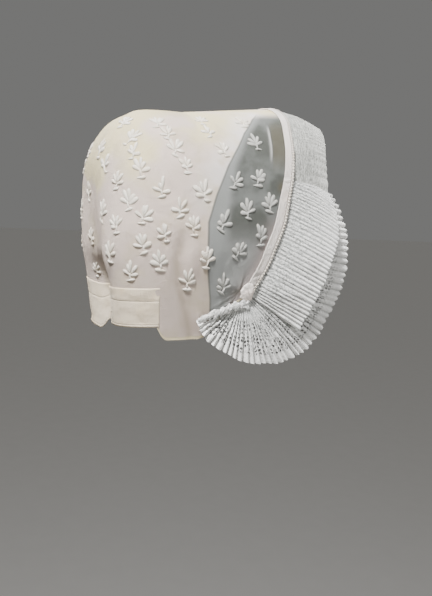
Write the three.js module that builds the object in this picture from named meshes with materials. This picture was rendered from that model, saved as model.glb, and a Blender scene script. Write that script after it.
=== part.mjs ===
// A woman's white nightcap, held in the round shape it has when worn.
// Millimetres, +Z up, face opening towards -Y, wearer's left towards +X.
// The origin is at the inner top of the crown, midway between nape and brow.
import * as THREE from 'three';

// Overall sizes of the crown
const crownHeight = 192;
const crownHalfWidth = 83;
const crownBackReach = 82;
const faceReach = 88;
const frontRise = 11.5;
const levelAhead = 0.25;
const cornerSquareness = 3;

// Cloth
const clothWall = 1.2;
const clothGap = 0.35;
const liningGap = 0.8;
const liningWall = 1;
const crownTop = clothWall + frontRise * levelAhead;

// Centre-back valley between the two puffed halves
const valleyDepth = 22;
const valleySpread = 40;
const valleyStartTurn = 30;
const valleyFullTurn = 60;

// Soft fold down each side and the small fold beside the face band
const sideFoldDepth = 2.4;
const sideFoldSpread = 6;
const templeFoldDepth = 2;
const templeFoldSpread = 4;
const templeFoldInset = 17;

// Bands
const faceBandWidth = 10.3;
const faceBandOverlap = 0.8;
const faceBandWall = 1.1;
const faceBandTopWidth = 7.6;
const rimInset = 1.5;
const bandGap = 0.6;
const napeBandHeight = 32;
const napeBandStartTurn = 24.5;
const napeSlitHalfTurn = 0.9;
const leftBandHang = 4;
const leftBandExtra = 8;
const leftBandLevelTurn = 55;
const headingHeight = 5;
const headingWall = 2.4;
const headingStandOff = 0.1;
const headingLift = 1;

// Frills
const sidePleats = 37;
const underPleats = 58;
const seamPleatDepth = 0.3;
const edgePleatDepth = 0.95;
const fanPleatDepth = 1.7;
const frillBulge = 3;
const tipBulge = 1;
const seamGap = 0.9;
const sideTierOut = -2;
const browTuck = 0.3;

// Crown sections from the ridge down to the hem.
// drop: share of crownHeight; wide and face: shares of crownHalfWidth at mid-head and at the face;
// back: share of crownBackReach; valley: share of valleyDepth; reach: share of faceReach.
const crownRows = [
  { drop: 0.0, wide: 0.0, face: 0.0, back: 0.0, valley: 0.0, reach: 1.0 },
  { drop: 0.01, wide: 0.193, face: 0.205, back: 0.428, valley: 0.0, reach: 0.994 },
  { drop: 0.036, wide: 0.386, face: 0.41, back: 0.579, valley: 0.0, reach: 0.983 },
  { drop: 0.073, wide: 0.542, face: 0.578, back: 0.72, valley: 0.0, reach: 0.966 },
  { drop: 0.125, wide: 0.675, face: 0.699, back: 0.815, valley: 0.0, reach: 0.943 },
  { drop: 0.193, wide: 0.795, face: 0.819, back: 0.885, valley: 0.0, reach: 0.92 },
  { drop: 0.281, wide: 0.904, face: 0.904, back: 0.931, valley: 0.02, reach: 0.892 },
  { drop: 0.385, wide: 0.964, face: 0.952, back: 0.969, valley: 0.23, reach: 0.847 },
  { drop: 0.5, wide: 1.0, face: 0.97, back: 0.994, valley: 0.45, reach: 0.801 },
  { drop: 0.604, wide: 1.0, face: 0.964, back: 1.0, valley: 0.64, reach: 0.722 },
  { drop: 0.677, wide: 0.988, face: 0.952, back: 0.994, valley: 0.77, reach: 0.665 },
  { drop: 0.802, wide: 0.952, face: 0.922, back: 0.956, valley: 1.1, reach: 0.523 },
  { drop: 1.0, wide: 0.892, face: 0.892, back: 0.881, valley: 0.82, reach: 0.273 },
];
const hemStart = 10;
const hemSteps = 3;

// Lower edge of the crown from the cheek corner back to where the round of the head begins.
// forward: share of faceReach; drop: share of crownHeight.
const cheekHem = [
  { forward: -0.1, drop: 1.005 },
  { forward: 0.0, drop: 1.003 },
  { forward: 0.08, drop: 0.99 },
  { forward: 0.16, drop: 0.94 },
  { forward: 0.25, drop: 0.885 },
  { forward: 0.364, drop: 0.845 },
  { forward: 0.489, drop: 0.817 },
  { forward: 0.6, drop: 0.797 },
];

// Lower edge round the back, by turn in degrees from the side to the centre back.
const backHem = [
  { turn: 0, drop: 1.003 },
  { turn: 5, drop: 1.005 },
  { turn: 20.5, drop: 1.005 },
  { turn: 23, drop: 0.99 },
  { turn: 25.5, drop: 0.955 },
  { turn: 27.5, drop: 0.81 },
  { turn: 90, drop: 0.852 },
];

// Top edge of the nape band, and how far its lower edge hangs.
const napeTop = [
  { turn: 23.5, drop: 0.78 },
  { turn: 60, drop: 0.795 },
  { turn: 90, drop: 0.812 },
];

// Front edge of the lining on each side. drop: share of crownHeight; forward: share of faceReach.
const liningEdge = [
  { drop: 0.0, forward: 0.83 },
  { drop: 0.06, forward: 0.6 },
  { drop: 0.12, forward: 0.46 },
  { drop: 0.193, forward: 0.34 },
  { drop: 0.26, forward: 0.23 },
  { drop: 0.385, forward: 0.1 },
  { drop: 0.5, forward: 0.02 },
  { drop: 0.61, forward: 0.02 },
  { drop: 0.72, forward: 0.045 },
  { drop: 0.83, forward: 0.09 },
  { drop: 1.0, forward: 0.12 },
];

// Path of the soft side fold. drop: share of crownHeight; forward: share of faceReach.
const sideFold = [
  { drop: 0.5, forward: -0.227 },
  { drop: 0.604, forward: -0.239 },
  { drop: 0.667, forward: -0.261 },
  { drop: 0.771, forward: -0.227 },
  { drop: 0.854, forward: -0.159 },
  { drop: 1.0, forward: -0.07 },
];

// Columns of the crown mesh: shares of the way to the face edge, then turns round the back.
const sideColumns = [1, 0.88, 0.8, 0.72, 0.55, 0.36, 0.18];
const backTurns = [0, 3.5, 5, 12, 20.5, 23, 25.5, 27.5, 34, 42, 51, 60, 68, 76, 83, 90];

// Free edge of the lace over the brow, by crown row.
// side: share of crownHalfWidth; forward: share of faceReach; drop: share of crownHeight.
const browEdge = [
  { row: 0, side: 0.0, forward: 1.614, drop: 0.016 },
  { row: 1, side: 0.108, forward: 1.602, drop: 0.026 },
  { row: 2, side: 0.217, forward: 1.574, drop: 0.049 },
  { row: 3, side: 0.325, forward: 1.54, drop: 0.078 },
  { row: 4, side: 0.446, forward: 1.494, drop: 0.12 },
  { row: 5, side: 0.566, forward: 1.443, drop: 0.182 },
  { row: 6, side: 0.7, forward: 1.405, drop: 0.292 },
  { row: 6.22, side: 0.748, forward: 1.392, drop: 0.334 },
];

// The upper tier of pleated lace: sewn line and free edge from temple to cheek corner.
// Sewn line by drop on the face edge; free edge as side, forward and low shares.
const sideTier = [
  { drop: 0.304, side: 0.771, forward: 1.386, low: 0.349 },
  { drop: 0.37, side: 0.892, forward: 1.398, low: 0.422 },
  { drop: 0.432, side: 0.988, forward: 1.392, low: 0.5 },
  { drop: 0.5, side: 1.048, forward: 1.352, low: 0.568 },
  { drop: 0.563, side: 1.084, forward: 1.295, low: 0.63 },
  { drop: 0.625, side: 1.102, forward: 1.239, low: 0.698 },
  { drop: 0.682, side: 1.102, forward: 1.188, low: 0.766 },
  { drop: 0.74, side: 1.096, forward: 1.119, low: 0.833 },
  { drop: 0.786, side: 1.078, forward: 1.057, low: 0.901 },
  { drop: 0.812, side: 1.056, forward: 1.0, low: 0.963 },
];

// The under tier: it follows the same line to the corner, then fans back along the hem.
// at and drop place the sewn line; out is its offset from the crown's face in millimetres.
const underTier = [
  { at: 0.893, drop: 0.304, out: -4.2, side: 0.687, forward: 1.443, low: 0.344 },
  { at: 0.87, drop: 0.37, out: -4.2, side: 0.741, forward: 1.506, low: 0.401 },
  { at: 0.842, drop: 0.432, out: -4.2, side: 0.795, forward: 1.545, low: 0.464 },
  { at: 0.806, drop: 0.5, out: -4.2, side: 0.849, forward: 1.574, low: 0.531 },
  { at: 0.766, drop: 0.563, out: -4.2, side: 0.892, forward: 1.574, low: 0.604 },
  { at: 0.715, drop: 0.625, out: -4.2, side: 0.916, forward: 1.557, low: 0.682 },
  { at: 0.67, drop: 0.682, out: -4.2, side: 0.928, forward: 1.523, low: 0.76 },
  { at: 0.61, drop: 0.74, out: -4.2, side: 0.94, forward: 1.455, low: 0.833 },
  { at: 0.556, drop: 0.775, out: -4.2, side: 0.952, forward: 1.318, low: 0.948 },
  { at: 0.53, drop: 0.802, out: -4.5, side: 0.964, forward: 1.17, low: 1.042 },
  { at: 0.515, drop: 0.834, out: -3.4, side: 0.976, forward: 1.011, low: 1.083 },
  { at: 0.498, drop: 0.845, out: -1.6, side: 0.988, forward: 0.841, low: 1.107 },
  { at: 0.475, drop: 0.848, out: 0.2, side: 1.0, forward: 0.682, low: 1.109 },
  { at: 0.45, drop: 0.85, out: 1.4, side: 1.012, forward: 0.534, low: 1.104 },
  { at: 0.425, drop: 0.846, out: 1.8, side: 1.018, forward: 0.409, low: 1.089 },
  { at: 0.4, drop: 0.849, out: 1.9, side: 1.018, forward: 0.284, low: 1.063 },
  { at: 0.375, drop: 0.852, out: 2.0, side: 1.006, forward: 0.15, low: 1.027 },
  { at: 0.35, drop: 0.855, out: 2.1, side: 0.988, forward: 0.03, low: 0.985 },
  { at: 0.33, drop: 0.857, out: 2.2, side: 0.964, forward: -0.045, low: 0.915 },
];
const fanStartRow = 9;
const headingStartRow = 10.8;
const headingSeamShare = 0.3;

// Smooth curve through a table column, read at a fractional row.
function spline(table, column, row, startSign) {
  const last = table.length - 1;
  const clamped = Math.min(Math.max(row, 0), last);
  const i = Math.min(Math.floor(clamped), last - 1);
  const f = clamped - i;
  const value = (k) => {
    if (k < 0) return startSign ? startSign * table[-k][column] : 2 * table[0][column] - table[1][column];
    if (k > last) return 2 * table[last][column] - table[last - 1][column];
    return table[k][column];
  };
  const [a, b, c, d] = [value(i - 1), value(i), value(i + 1), value(i + 2)];
  const slope0 = (c - a) / 2;
  const slope1 = (d - b) / 2;
  const f2 = f * f;
  const f3 = f2 * f;
  return (2 * f3 - 3 * f2 + 1) * b + (f3 - 2 * f2 + f) * slope0 + (3 * f2 - 2 * f3) * c + (f3 - f2) * slope1;
}

// Straight-line reading of a table: the value of one column where another has a given value.
function lookUp(table, keyColumn, key, column) {
  const first = table[0];
  if (key <= first[keyColumn]) return first[column];
  for (let i = 1; i < table.length; i += 1) {
    const a = table[i - 1];
    const b = table[i];
    if (key <= b[keyColumn]) {
      const f = (key - a[keyColumn]) / (b[keyColumn] - a[keyColumn]);
      return a[column] + (b[column] - a[column]) * f;
    }
  }
  return table[table.length - 1][column];
}

function fade(x, from, to) {
  const f = Math.min(Math.max((x - from) / (to - from), 0), 1);
  return f * f * (3 - 2 * f);
}

const rowSign = { drop: 1, valley: 1, reach: 1, wide: -1, face: -1, back: -1 };

function crownValue(column, row) {
  return spline(crownRows, column, row, rowSign[column]);
}

// The fractional crown row that lies at a given drop share.
function rowAtDrop(drop) {
  let low = 0;
  let high = crownRows.length - 1;
  if (drop >= 1) return high;
  for (let i = 0; i < 40; i += 1) {
    const mid = (low + high) / 2;
    if (crownValue('drop', mid) < drop) low = mid;
    else high = mid;
  }
  return (low + high) / 2;
}

// Height of the cloth at a drop; the ridge climbs from the back of the crown to the brow.
function heightAt(drop, ahead) {
  const rise = frontRise * (ahead - levelAhead) * Math.max(1 - drop * 3.2, 0);
  return crownTop - drop * crownHeight + rise;
}

function reachAt(row) {
  return crownValue('reach', row) * faceReach;
}

// How far the side fold and the temple fold sink the cloth at one place.
function foldSink(row, forward) {
  const drop = crownValue('drop', row);
  const centre = lookUp(sideFold, 'drop', drop, 'forward') * faceReach;
  const side = (forward - centre) / sideFoldSpread;
  const ridge = (forward - centre - 1.9 * sideFoldSpread) / sideFoldSpread;
  const strength = fade(drop, 0.5, 0.62) * sideFoldDepth;
  const temple = (forward - reachAt(row) + templeFoldInset) / templeFoldSpread;
  const templeStrength = fade(drop, 0.03, 0.1) * (1 - fade(drop, 0.22, 0.3)) * templeFoldDepth;
  return strength * (Math.exp(-side * side) - 0.5 * Math.exp(-ridge * ridge))
    + templeStrength * Math.exp(-temple * temple);
}

// Crown surface on the wearer's right, at a crown row and a distance forward.
// lower is extra drop in millimetres beyond the last row.
function crownAt(row, forward, lower = 0) {
  const wide = crownValue('wide', row) * crownHalfWidth;
  const face = crownValue('face', row) * crownHalfWidth;
  const back = crownValue('back', row) * crownBackReach;
  const drop = crownValue('drop', row);
  const ahead = Math.max(forward, 0) / reachAt(row);
  let side = wide + (face - wide) * ahead ** 1.6;
  if (forward < 0 && back > 0) {
    const share = Math.min(-forward / back, 0.999);
    side = wide * (1 - share ** cornerSquareness) ** (1 / cornerSquareness);
  }
  side = Math.max(side - foldSink(row, forward), 0);
  return new THREE.Vector3(-side, -forward, heightAt(drop, ahead) - lower);
}

// Crown surface round the back, by turn in degrees from the side.
function crownRound(row, turn, lower = 0) {
  const wide = crownValue('wide', row) * crownHalfWidth;
  const back = crownValue('back', row) * crownBackReach;
  const drop = crownValue('drop', row);
  const z = heightAt(drop, 0) - lower;
  if (wide <= 0 || back <= 0) return new THREE.Vector3(0, 0, z);
  const angle = THREE.MathUtils.degToRad(turn);
  const across = Math.cos(angle);
  const along = Math.sin(angle);
  const n = cornerSquareness;
  const radius = ((Math.abs(across) / wide) ** n + (Math.abs(along) / back) ** n) ** (-1 / n);
  const side = radius * across;
  const away = radius * along;
  const dip = crownValue('valley', row) * valleyDepth * Math.exp(-((side / valleySpread) ** 2));
  const sink = foldSink(row, -away) * Math.max(1 - along * 1.3, 0);
  return new THREE.Vector3(-Math.max(side - sink, 0), away - dip * fade(turn, valleyStartTurn, valleyFullTurn), z);
}

// One place on the crown, given as a column: either a share ahead or a turn behind.
function crownPlace(row, column, lower = 0) {
  if (column.turn !== undefined) return crownRound(row, column.turn, lower);
  return crownAt(row, column.share * (reachAt(row) - rimInset), lower);
}

// Rows below hemStart are shared out between that row and the hem of their column.
function hemDrop(column) {
  if (column.turn !== undefined) return lookUp(backHem, 'turn', column.turn, 'drop');
  let drop = 0.83;
  for (let i = 0; i < 12; i += 1) {
    const forward = (column.share * (reachAt(rowAtDrop(drop)) - rimInset)) / faceReach;
    drop = 0.5 * drop + 0.5 * lookUp(cheekHem, 'forward', forward, 'drop');
  }
  return drop;
}

function placeAtDrop(drop, column) {
  const lower = Math.max(drop - 1, 0) * crownHeight;
  return crownPlace(rowAtDrop(drop), column, lower);
}

// A sheet is a list of points and a list of triangles; equal points are joined.
function sheetFromGrid(grid) {
  const points = [];
  const keys = new Map();
  const index = grid.map((line) => line.map((p) => {
    const key = [p.x, p.y, p.z].map((v) => Math.round(v * 1000)).join(',');
    if (!keys.has(key)) {
      keys.set(key, points.length);
      points.push(p.clone());
    }
    return keys.get(key);
  }));
  const triangles = [];
  const add = (a, b, c) => {
    if (a !== b && b !== c && a !== c) triangles.push([a, b, c]);
  };
  for (let i = 0; i + 1 < index.length; i += 1) {
    for (let j = 0; j + 1 < index[i].length; j += 1) {
      add(index[i][j], index[i + 1][j], index[i + 1][j + 1]);
      add(index[i][j], index[i + 1][j + 1], index[i][j + 1]);
    }
  }
  return { points, triangles };
}

function pointNormals(sheet) {
  const normals = sheet.points.map(() => new THREE.Vector3());
  for (const [a, b, c] of sheet.triangles) {
    const [p, q, r] = [sheet.points[a], sheet.points[b], sheet.points[c]];
    const face = new THREE.Vector3().crossVectors(q.clone().sub(p), r.clone().sub(p));
    for (const k of [a, b, c]) normals[k].add(face);
  }
  return normals.map((n) => n.normalize());
}

// Closed solid between two offsets of a sheet, outer first.
function thickSheet(sheet, outer, inner) {
  const normals = pointNormals(sheet);
  const count = sheet.points.length;
  const positions = [];
  for (const offset of [outer, inner]) {
    sheet.points.forEach((p, i) => positions.push(...p.clone().addScaledVector(normals[i], offset)));
  }
  const faces = [];
  const edges = new Map();
  for (const [a, b, c] of sheet.triangles) {
    faces.push([a, b, c], [a + count, c + count, b + count]);
    for (const [p, q] of [[a, b], [b, c], [c, a]]) {
      if (edges.has(`${q},${p}`)) edges.delete(`${q},${p}`);
      else edges.set(`${p},${q}`, [p, q]);
    }
  }
  for (const [p, q] of edges.values()) {
    faces.push([q, p, p + count], [q, p + count, q + count]);
  }
  return solid(positions, faces);
}

function solid(positions, faces) {
  const geometry = new THREE.BufferGeometry();
  geometry.setAttribute('position', new THREE.Float32BufferAttribute(positions, 3));
  geometry.setIndex(faces.flat());
  geometry.computeVertexNormals();
  return geometry;
}

function mirrored(geometry) {
  const copy = geometry.clone();
  const position = copy.getAttribute('position');
  for (let i = 0; i < position.count; i += 1) position.setX(i, -position.getX(i));
  const index = Array.from(copy.getIndex().array);
  for (let i = 0; i < index.length; i += 3) [index[i], index[i + 1]] = [index[i + 1], index[i]];
  copy.setIndex(index);
  copy.computeVertexNormals();
  return copy;
}

function mirroredPoint(p) {
  return new THREE.Vector3(-p.x, p.y, p.z);
}

const crownColumns = [
  ...sideColumns.map((share) => ({ share })),
  ...backTurns.map((turn) => ({ turn })),
];

// Drops of one column from the ridge to its own lower edge.
function dropsTo(lowest) {
  const drops = [];
  for (let row = 0; row <= hemStart; row += 1) drops.push(crownRows[row].drop);
  const start = crownRows[hemStart].drop;
  for (let step = 1; step <= hemSteps; step += 1) {
    drops.push(start + ((lowest - start) * step) / hemSteps);
  }
  return drops;
}

function bothHalves(lines) {
  const right = lines.map((line) => line.slice());
  const left = lines.slice(0, -1).reverse().map((line) => line.map(mirroredPoint));
  return right.concat(left);
}

function crownGeometry() {
  const lines = crownColumns.map((column) => dropsTo(hemDrop(column))
    .map((drop, i) => (i <= hemStart ? crownPlace(i, column) : placeAtDrop(drop, column))));
  return thickSheet(sheetFromGrid(bothHalves(lines)), 0, -clothWall);
}

// The lining follows the crown inside, from its curved front edge round the back.
function liningGeometry() {
  const steps = [1, 0.66, 0.33];
  const lines = [];
  for (const share of steps) {
    const line = [];
    const lowest = 0.862 - 0.012 * share;
    dropsTo(lowest).forEach((drop, i) => {
      const row = i <= hemStart ? i : rowAtDrop(drop);
      line.push(crownAt(row, share * lookUp(liningEdge, 'drop', drop, 'forward') * faceReach));
    });
    lines.push(line);
  }
  for (const turn of backTurns) {
    const lowest = Math.min(lookUp(backHem, 'turn', turn, 'drop') - 0.022, 0.97);
    lines.push(dropsTo(lowest)
      .map((drop, i) => (i <= hemStart ? crownPlace(i, { turn }) : placeAtDrop(drop, { turn }))));
  }
  const outer = -clothWall - liningGap;
  return thickSheet(sheetFromGrid(bothHalves(lines)), outer, outer - liningWall);
}

// The plain band along the face edge, over the crown from one cheek corner to the other.
function faceBandGeometry() {
  const columns = [1, 0.5, 0];
  const drops = dropsTo(0.82);
  const lines = drops.map((drop, i) => {
    const row = i <= hemStart ? i : rowAtDrop(drop);
    const width = faceBandTopWidth + (faceBandWidth - faceBandTopWidth) * fade(drop, 0.1, 0.5);
    return columns.map((share) => crownAt(row, reachAt(row) + faceBandOverlap - share * width));
  });
  const left = lines.slice(1).map((line) => line.map(mirroredPoint));
  const arch = left.reverse().concat(lines);
  return thickSheet(sheetFromGrid(arch), clothGap + faceBandWall, clothGap);
}

// One half of the nape band. Away from the slit it can hang lower and deeper by the slack given.
function napeBandGeometry(hang, extraHeight) {
  const turns = [napeBandStartTurn, ...backTurns.filter((turn) => turn > napeBandStartTurn && turn < 90)];
  turns.push(90 - napeSlitHalfTurn);
  const lines = turns.map((turn) => {
    const slack = 1 - fade(turn, leftBandLevelTurn, 90);
    const top = lookUp(napeTop, 'turn', turn, 'drop') + (hang * slack) / crownHeight;
    const height = (napeBandHeight + extraHeight * slack) / crownHeight;
    return [0, 0.18, 0.5, 0.82, 1].map((share) => placeAtDrop(top + height * share, { turn }));
  });
  return thickSheet(sheetFromGrid(lines), bandGap + clothWall, bandGap);
}

// Outward direction of the crown surface near a place on its side.
function outwardAt(row, forward) {
  const along = crownAt(row, forward + 0.5).sub(crownAt(row, forward - 0.5));
  const down = crownAt(row + 0.05, forward).sub(crownAt(Math.max(row - 0.05, 0.001), forward));
  return new THREE.Vector3().crossVectors(down, along).normalize();
}

function browLaceGeometry() {
  const right = browEdge.map(({ row, side, forward, drop }) => {
    const at = reachAt(row) - rimInset + seamGap;
    const seam = crownAt(row, at);
    const edge = new THREE.Vector3(
      -side * crownHalfWidth,
      -forward * faceReach,
      crownTop - drop * crownHeight,
    );
    const outward = outwardAt(row, at);
    return [0, 0.18, 0.45, 0.72, 1].map((share) => seam.clone()
      .lerp(edge, share)
      .addScaledVector(outward, frillBulge * Math.sin(Math.PI * share)));
  });
  const left = right.slice(1).map((line) => line.map(mirroredPoint));
  const arch = left.reverse().concat(right);
  return thickSheet(sheetFromGrid(arch), -browTuck, -browTuck - clothWall);
}

// Pleated lace between a sewn line and a free edge, each a function of the share along it.
function pleatedLace(seamAt, edgeAt, pleats, depthAt, bulgeAt = () => frillBulge) {
  const samples = 400;
  const lengths = [0];
  for (let i = 1; i <= samples; i += 1) {
    const step = edgeAt(i / samples).distanceTo(edgeAt((i - 1) / samples));
    lengths.push(lengths[i - 1] + step);
  }
  const shareAtLength = (length) => {
    let i = 1;
    while (i < samples && lengths[i] < length) i += 1;
    return (i - 1 + (length - lengths[i - 1]) / (lengths[i] - lengths[i - 1])) / samples;
  };
  const across = [0, 0.34, 0.68, 1];
  const top = [];
  const bottom = [];
  for (let k = 0; k <= 2 * pleats; k += 1) {
    const share = Math.min(shareAtLength((lengths[samples] * k) / (2 * pleats)), 1);
    const near = Math.min(share + 0.004, 1);
    const before = Math.max(share - 0.004, 0);
    const topLine = [];
    const bottomLine = [];
    for (const u of across) {
      const at = (s) => seamAt(s).lerp(edgeAt(s), u);
      const along = at(near).sub(at(before));
      const outward = edgeAt(share).sub(seamAt(share));
      const normal = new THREE.Vector3().crossVectors(along, outward).normalize();
      if (normal.x > 0) normal.negate();
      const middle = at(share).addScaledVector(normal, bulgeAt(share) * Math.sin(Math.PI * u));
      const fold = (k % 2 ? 1 : -1) * (seamPleatDepth + (depthAt(share) - seamPleatDepth) * u);
      topLine.push(middle.clone().addScaledVector(normal, fold + clothWall / 2));
      bottomLine.push(middle.clone().addScaledVector(normal, fold - clothWall / 2));
    }
    top.push(topLine);
    bottom.push(bottomLine);
  }
  return closedSlab(top, bottom);
}

// Closed solid between two grids of the same size.
function closedSlab(top, bottom) {
  const rows = top.length;
  const columns = top[0].length;
  const positions = [...top.flat(), ...bottom.flat()].flatMap((p) => [p.x, p.y, p.z]);
  const at = (i, j) => i * columns + j;
  const under = (i, j) => rows * columns + at(i, j);
  const faces = [];
  for (let i = 0; i + 1 < rows; i += 1) {
    for (let j = 0; j + 1 < columns; j += 1) {
      faces.push([at(i, j), at(i + 1, j), at(i + 1, j + 1)], [at(i, j), at(i + 1, j + 1), at(i, j + 1)]);
      faces.push([under(i, j), under(i + 1, j + 1), under(i + 1, j)]);
      faces.push([under(i, j), under(i, j + 1), under(i + 1, j + 1)]);
    }
    faces.push([at(i + 1, 0), at(i, 0), under(i, 0)], [at(i + 1, 0), under(i, 0), under(i + 1, 0)]);
    const last = columns - 1;
    faces.push([at(i, last), at(i + 1, last), under(i + 1, last)]);
    faces.push([at(i, last), under(i + 1, last), under(i, last)]);
  }
  for (let j = 0; j + 1 < columns; j += 1) {
    faces.push([at(0, j), at(0, j + 1), under(0, j + 1)], [at(0, j), under(0, j + 1), under(0, j)]);
    const last = rows - 1;
    faces.push([at(last, j + 1), at(last, j), under(last, j)]);
    faces.push([at(last, j + 1), under(last, j), under(last, j + 1)]);
  }
  return facingOut(positions, faces);
}

// Turns all triangles round if together they enclose a negative volume.
function facingOut(positions, faces) {
  const point = (k) => new THREE.Vector3(positions[3 * k], positions[3 * k + 1], positions[3 * k + 2]);
  let volume = 0;
  for (const [a, b, c] of faces) volume += point(a).dot(point(b).cross(point(c)));
  return solid(positions, volume < 0 ? faces.map(([a, b, c]) => [a, c, b]) : faces);
}

function freeEdge(table, row) {
  return new THREE.Vector3(
    -spline(table, 'side', row) * crownHalfWidth,
    -spline(table, 'forward', row) * faceReach,
    crownTop - spline(table, 'low', row) * crownHeight,
  );
}

function sideFrillGeometry() {
  const last = sideTier.length - 1;
  const seamAt = (share) => {
    const row = rowAtDrop(spline(sideTier, 'drop', share * last));
    const at = reachAt(row) - rimInset + seamGap;
    return crownAt(row, at).addScaledVector(outwardAt(row, at), sideTierOut);
  };
  const edgeAt = (share) => freeEdge(sideTier, share * last);
  return pleatedLace(seamAt, edgeAt, sidePleats, () => edgePleatDepth);
}

function underSeam(row) {
  const crownRow = rowAtDrop(spline(underTier, 'drop', row));
  const at = spline(underTier, 'at', row) * faceReach;
  const onFace = reachAt(crownRow) - rimInset + seamGap;
  const place = row < fanStartRow ? onFace : at;
  const out = spline(underTier, 'out', row);
  return crownAt(crownRow, place).addScaledVector(outwardAt(crownRow, place), out);
}

function underFrillGeometry() {
  const last = underTier.length - 1;
  const depthAt = (share) => {
    const fan = fade(share * last, fanStartRow - 2, fanStartRow + 1);
    return edgePleatDepth + (fanPleatDepth - edgePleatDepth) * fan;
  };
  const seamAt = (share) => underSeam(share * last);
  const edgeAt = (share) => freeEdge(underTier, share * last);
  return pleatedLace(seamAt, edgeAt, underPleats, depthAt, (share) => underBulge(share * last));
}

// The fan lies flatter towards its tip on the hem.
function underBulge(row) {
  return frillBulge + (tipBulge - frillBulge) * fade(row, fanStartRow, underTier.length - 1);
}

// Rolled heading: a flattened round bar over the sewn line of the fan and its last pleat.
function headingGeometry() {
  const last = underTier.length - 1;
  const steps = 14;
  const sides = 8;
  const tip = freeEdge(underTier, last);
  const clear = clothWall / 2 + edgePleatDepth + clothGap + headingWall / 2 + headingStandOff;
  const rings = [];
  for (let i = 0; i <= steps; i += 1) {
    const share = i / steps;
    const onPleat = Math.max((share - headingSeamShare) / (1 - headingSeamShare), 0);
    const row = headingStartRow + (last - headingStartRow) * Math.min(share / headingSeamShare, 1);
    const centre = underSeam(row).lerp(tip, onPleat);
    centre.x -= clear + underBulge(last) * Math.sin(Math.PI * onPleat);
    centre.z += headingLift;
    const end = Math.sin(Math.PI * Math.min(Math.max(share, 0.06), 0.94)) ** 0.25;
    const ring = [];
    for (let k = 0; k < sides; k += 1) {
      const angle = (2 * Math.PI * k) / sides;
      const p = centre.clone();
      p.x -= (headingWall / 2) * end * Math.cos(angle);
      p.z += (headingHeight / 2) * end * Math.sin(angle);
      ring.push(p);
    }
    rings.push(ring);
  }
  const positions = rings.flat().flatMap((p) => [p.x, p.y, p.z]);
  const faces = [];
  for (let i = 0; i < steps; i += 1) {
    for (let k = 0; k < sides; k += 1) {
      const [a, b] = [i * sides + k, i * sides + ((k + 1) % sides)];
      faces.push([a, b, b + sides], [a, b + sides, a + sides]);
    }
  }
  for (let k = 1; k + 1 < sides; k += 1) {
    faces.push([0, k + 1, k]);
    faces.push([steps * sides, steps * sides + k, steps * sides + k + 1]);
  }
  return facingOut(positions, faces);
}

const muslin = { color: 0xe9e2da, roughness: 0.9 };
const plainCotton = { color: 0xeee8df, roughness: 0.92 };
const lace = { color: 0xe4e6e4, roughness: 0.88 };

function mesh(name, geometry, look) {
  const piece = new THREE.Mesh(geometry, new THREE.MeshStandardMaterial(look));
  piece.name = name;
  return piece;
}

const cap = new THREE.Group();
cap.name = 'nightcap';

const sideFrill = sideFrillGeometry();
const underFrill = underFrillGeometry();
const napeBandRight = napeBandGeometry(0, 0);
const napeBandLeft = mirrored(napeBandGeometry(leftBandHang, leftBandExtra));
const heading = headingGeometry();

cap.add(mesh('crown', crownGeometry(), muslin));
cap.add(mesh('crown_lining', liningGeometry(), plainCotton));
cap.add(mesh('face_band', faceBandGeometry(), plainCotton));
cap.add(mesh('nape_band_right', napeBandRight, plainCotton));
cap.add(mesh('nape_band_left', napeBandLeft, plainCotton));
cap.add(mesh('brow_lace', browLaceGeometry(), lace));
cap.add(mesh('side_frill_right', sideFrill, lace));
cap.add(mesh('side_frill_left', mirrored(sideFrill), lace));
cap.add(mesh('under_frill_right', underFrill, lace));
cap.add(mesh('under_frill_left', mirrored(underFrill), lace));
cap.add(mesh('frill_heading_right', heading, plainCotton));
cap.add(mesh('frill_heading_left', mirrored(heading), plainCotton));

export default cap;
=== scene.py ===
"""A nightcap of sprigged muslin with pleated lace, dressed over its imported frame.

Metres, +Z up, face opening towards -Y, wearer's left towards +X.
"""

import logging
import math
import random
from bisect import bisect_right
from dataclasses import dataclass, field
from enum import Enum
from functools import lru_cache
from typing import Callable, NamedTuple, Sequence

import bmesh
import bpy
import numpy as np
from mathutils import Matrix, Vector, noise
from mathutils.bvhtree import BVHTree


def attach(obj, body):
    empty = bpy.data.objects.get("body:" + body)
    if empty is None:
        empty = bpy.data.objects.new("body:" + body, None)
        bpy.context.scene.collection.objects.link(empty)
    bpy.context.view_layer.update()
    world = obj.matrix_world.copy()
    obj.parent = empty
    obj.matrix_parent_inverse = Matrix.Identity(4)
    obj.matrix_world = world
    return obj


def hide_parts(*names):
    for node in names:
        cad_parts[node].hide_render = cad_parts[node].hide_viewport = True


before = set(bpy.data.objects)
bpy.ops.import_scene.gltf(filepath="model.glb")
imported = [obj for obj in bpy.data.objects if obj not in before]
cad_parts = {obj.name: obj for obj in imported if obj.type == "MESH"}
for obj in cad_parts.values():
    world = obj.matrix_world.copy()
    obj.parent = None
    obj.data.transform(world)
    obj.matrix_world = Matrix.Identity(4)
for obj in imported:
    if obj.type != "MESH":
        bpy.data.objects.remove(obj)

log = logging.getLogger("nightcap")

MM = 0.001
MERGE_DISTANCE = 0.02 * MM
HEAD_MIDDLE = Vector((0, 0, -90 * MM))

Place = Callable[[float, float], Vector]
Colour = tuple[float, float, float, float]
Span = tuple[float, float]
Socket = bpy.types.NodeSocket


class Slot(Enum):
    """The record's material slots."""

    MUSLIN = "muslin"
    LINING = "lining_cotton"
    BAND = "band_cotton"
    LACE = "lace"


class Hold(Enum):
    """How a sheet of cloth is held in its shape."""

    GATHERED = "gathered"
    STRETCHED = "stretched"


class Side(Enum):
    """The wearer's two sides, each with the sign that its x takes."""

    RIGHT = -1
    LEFT = 1

    @property
    def word(self) -> str:
        """The side's name as the frame's nodes spell it."""
        return self.name.lower()


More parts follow.
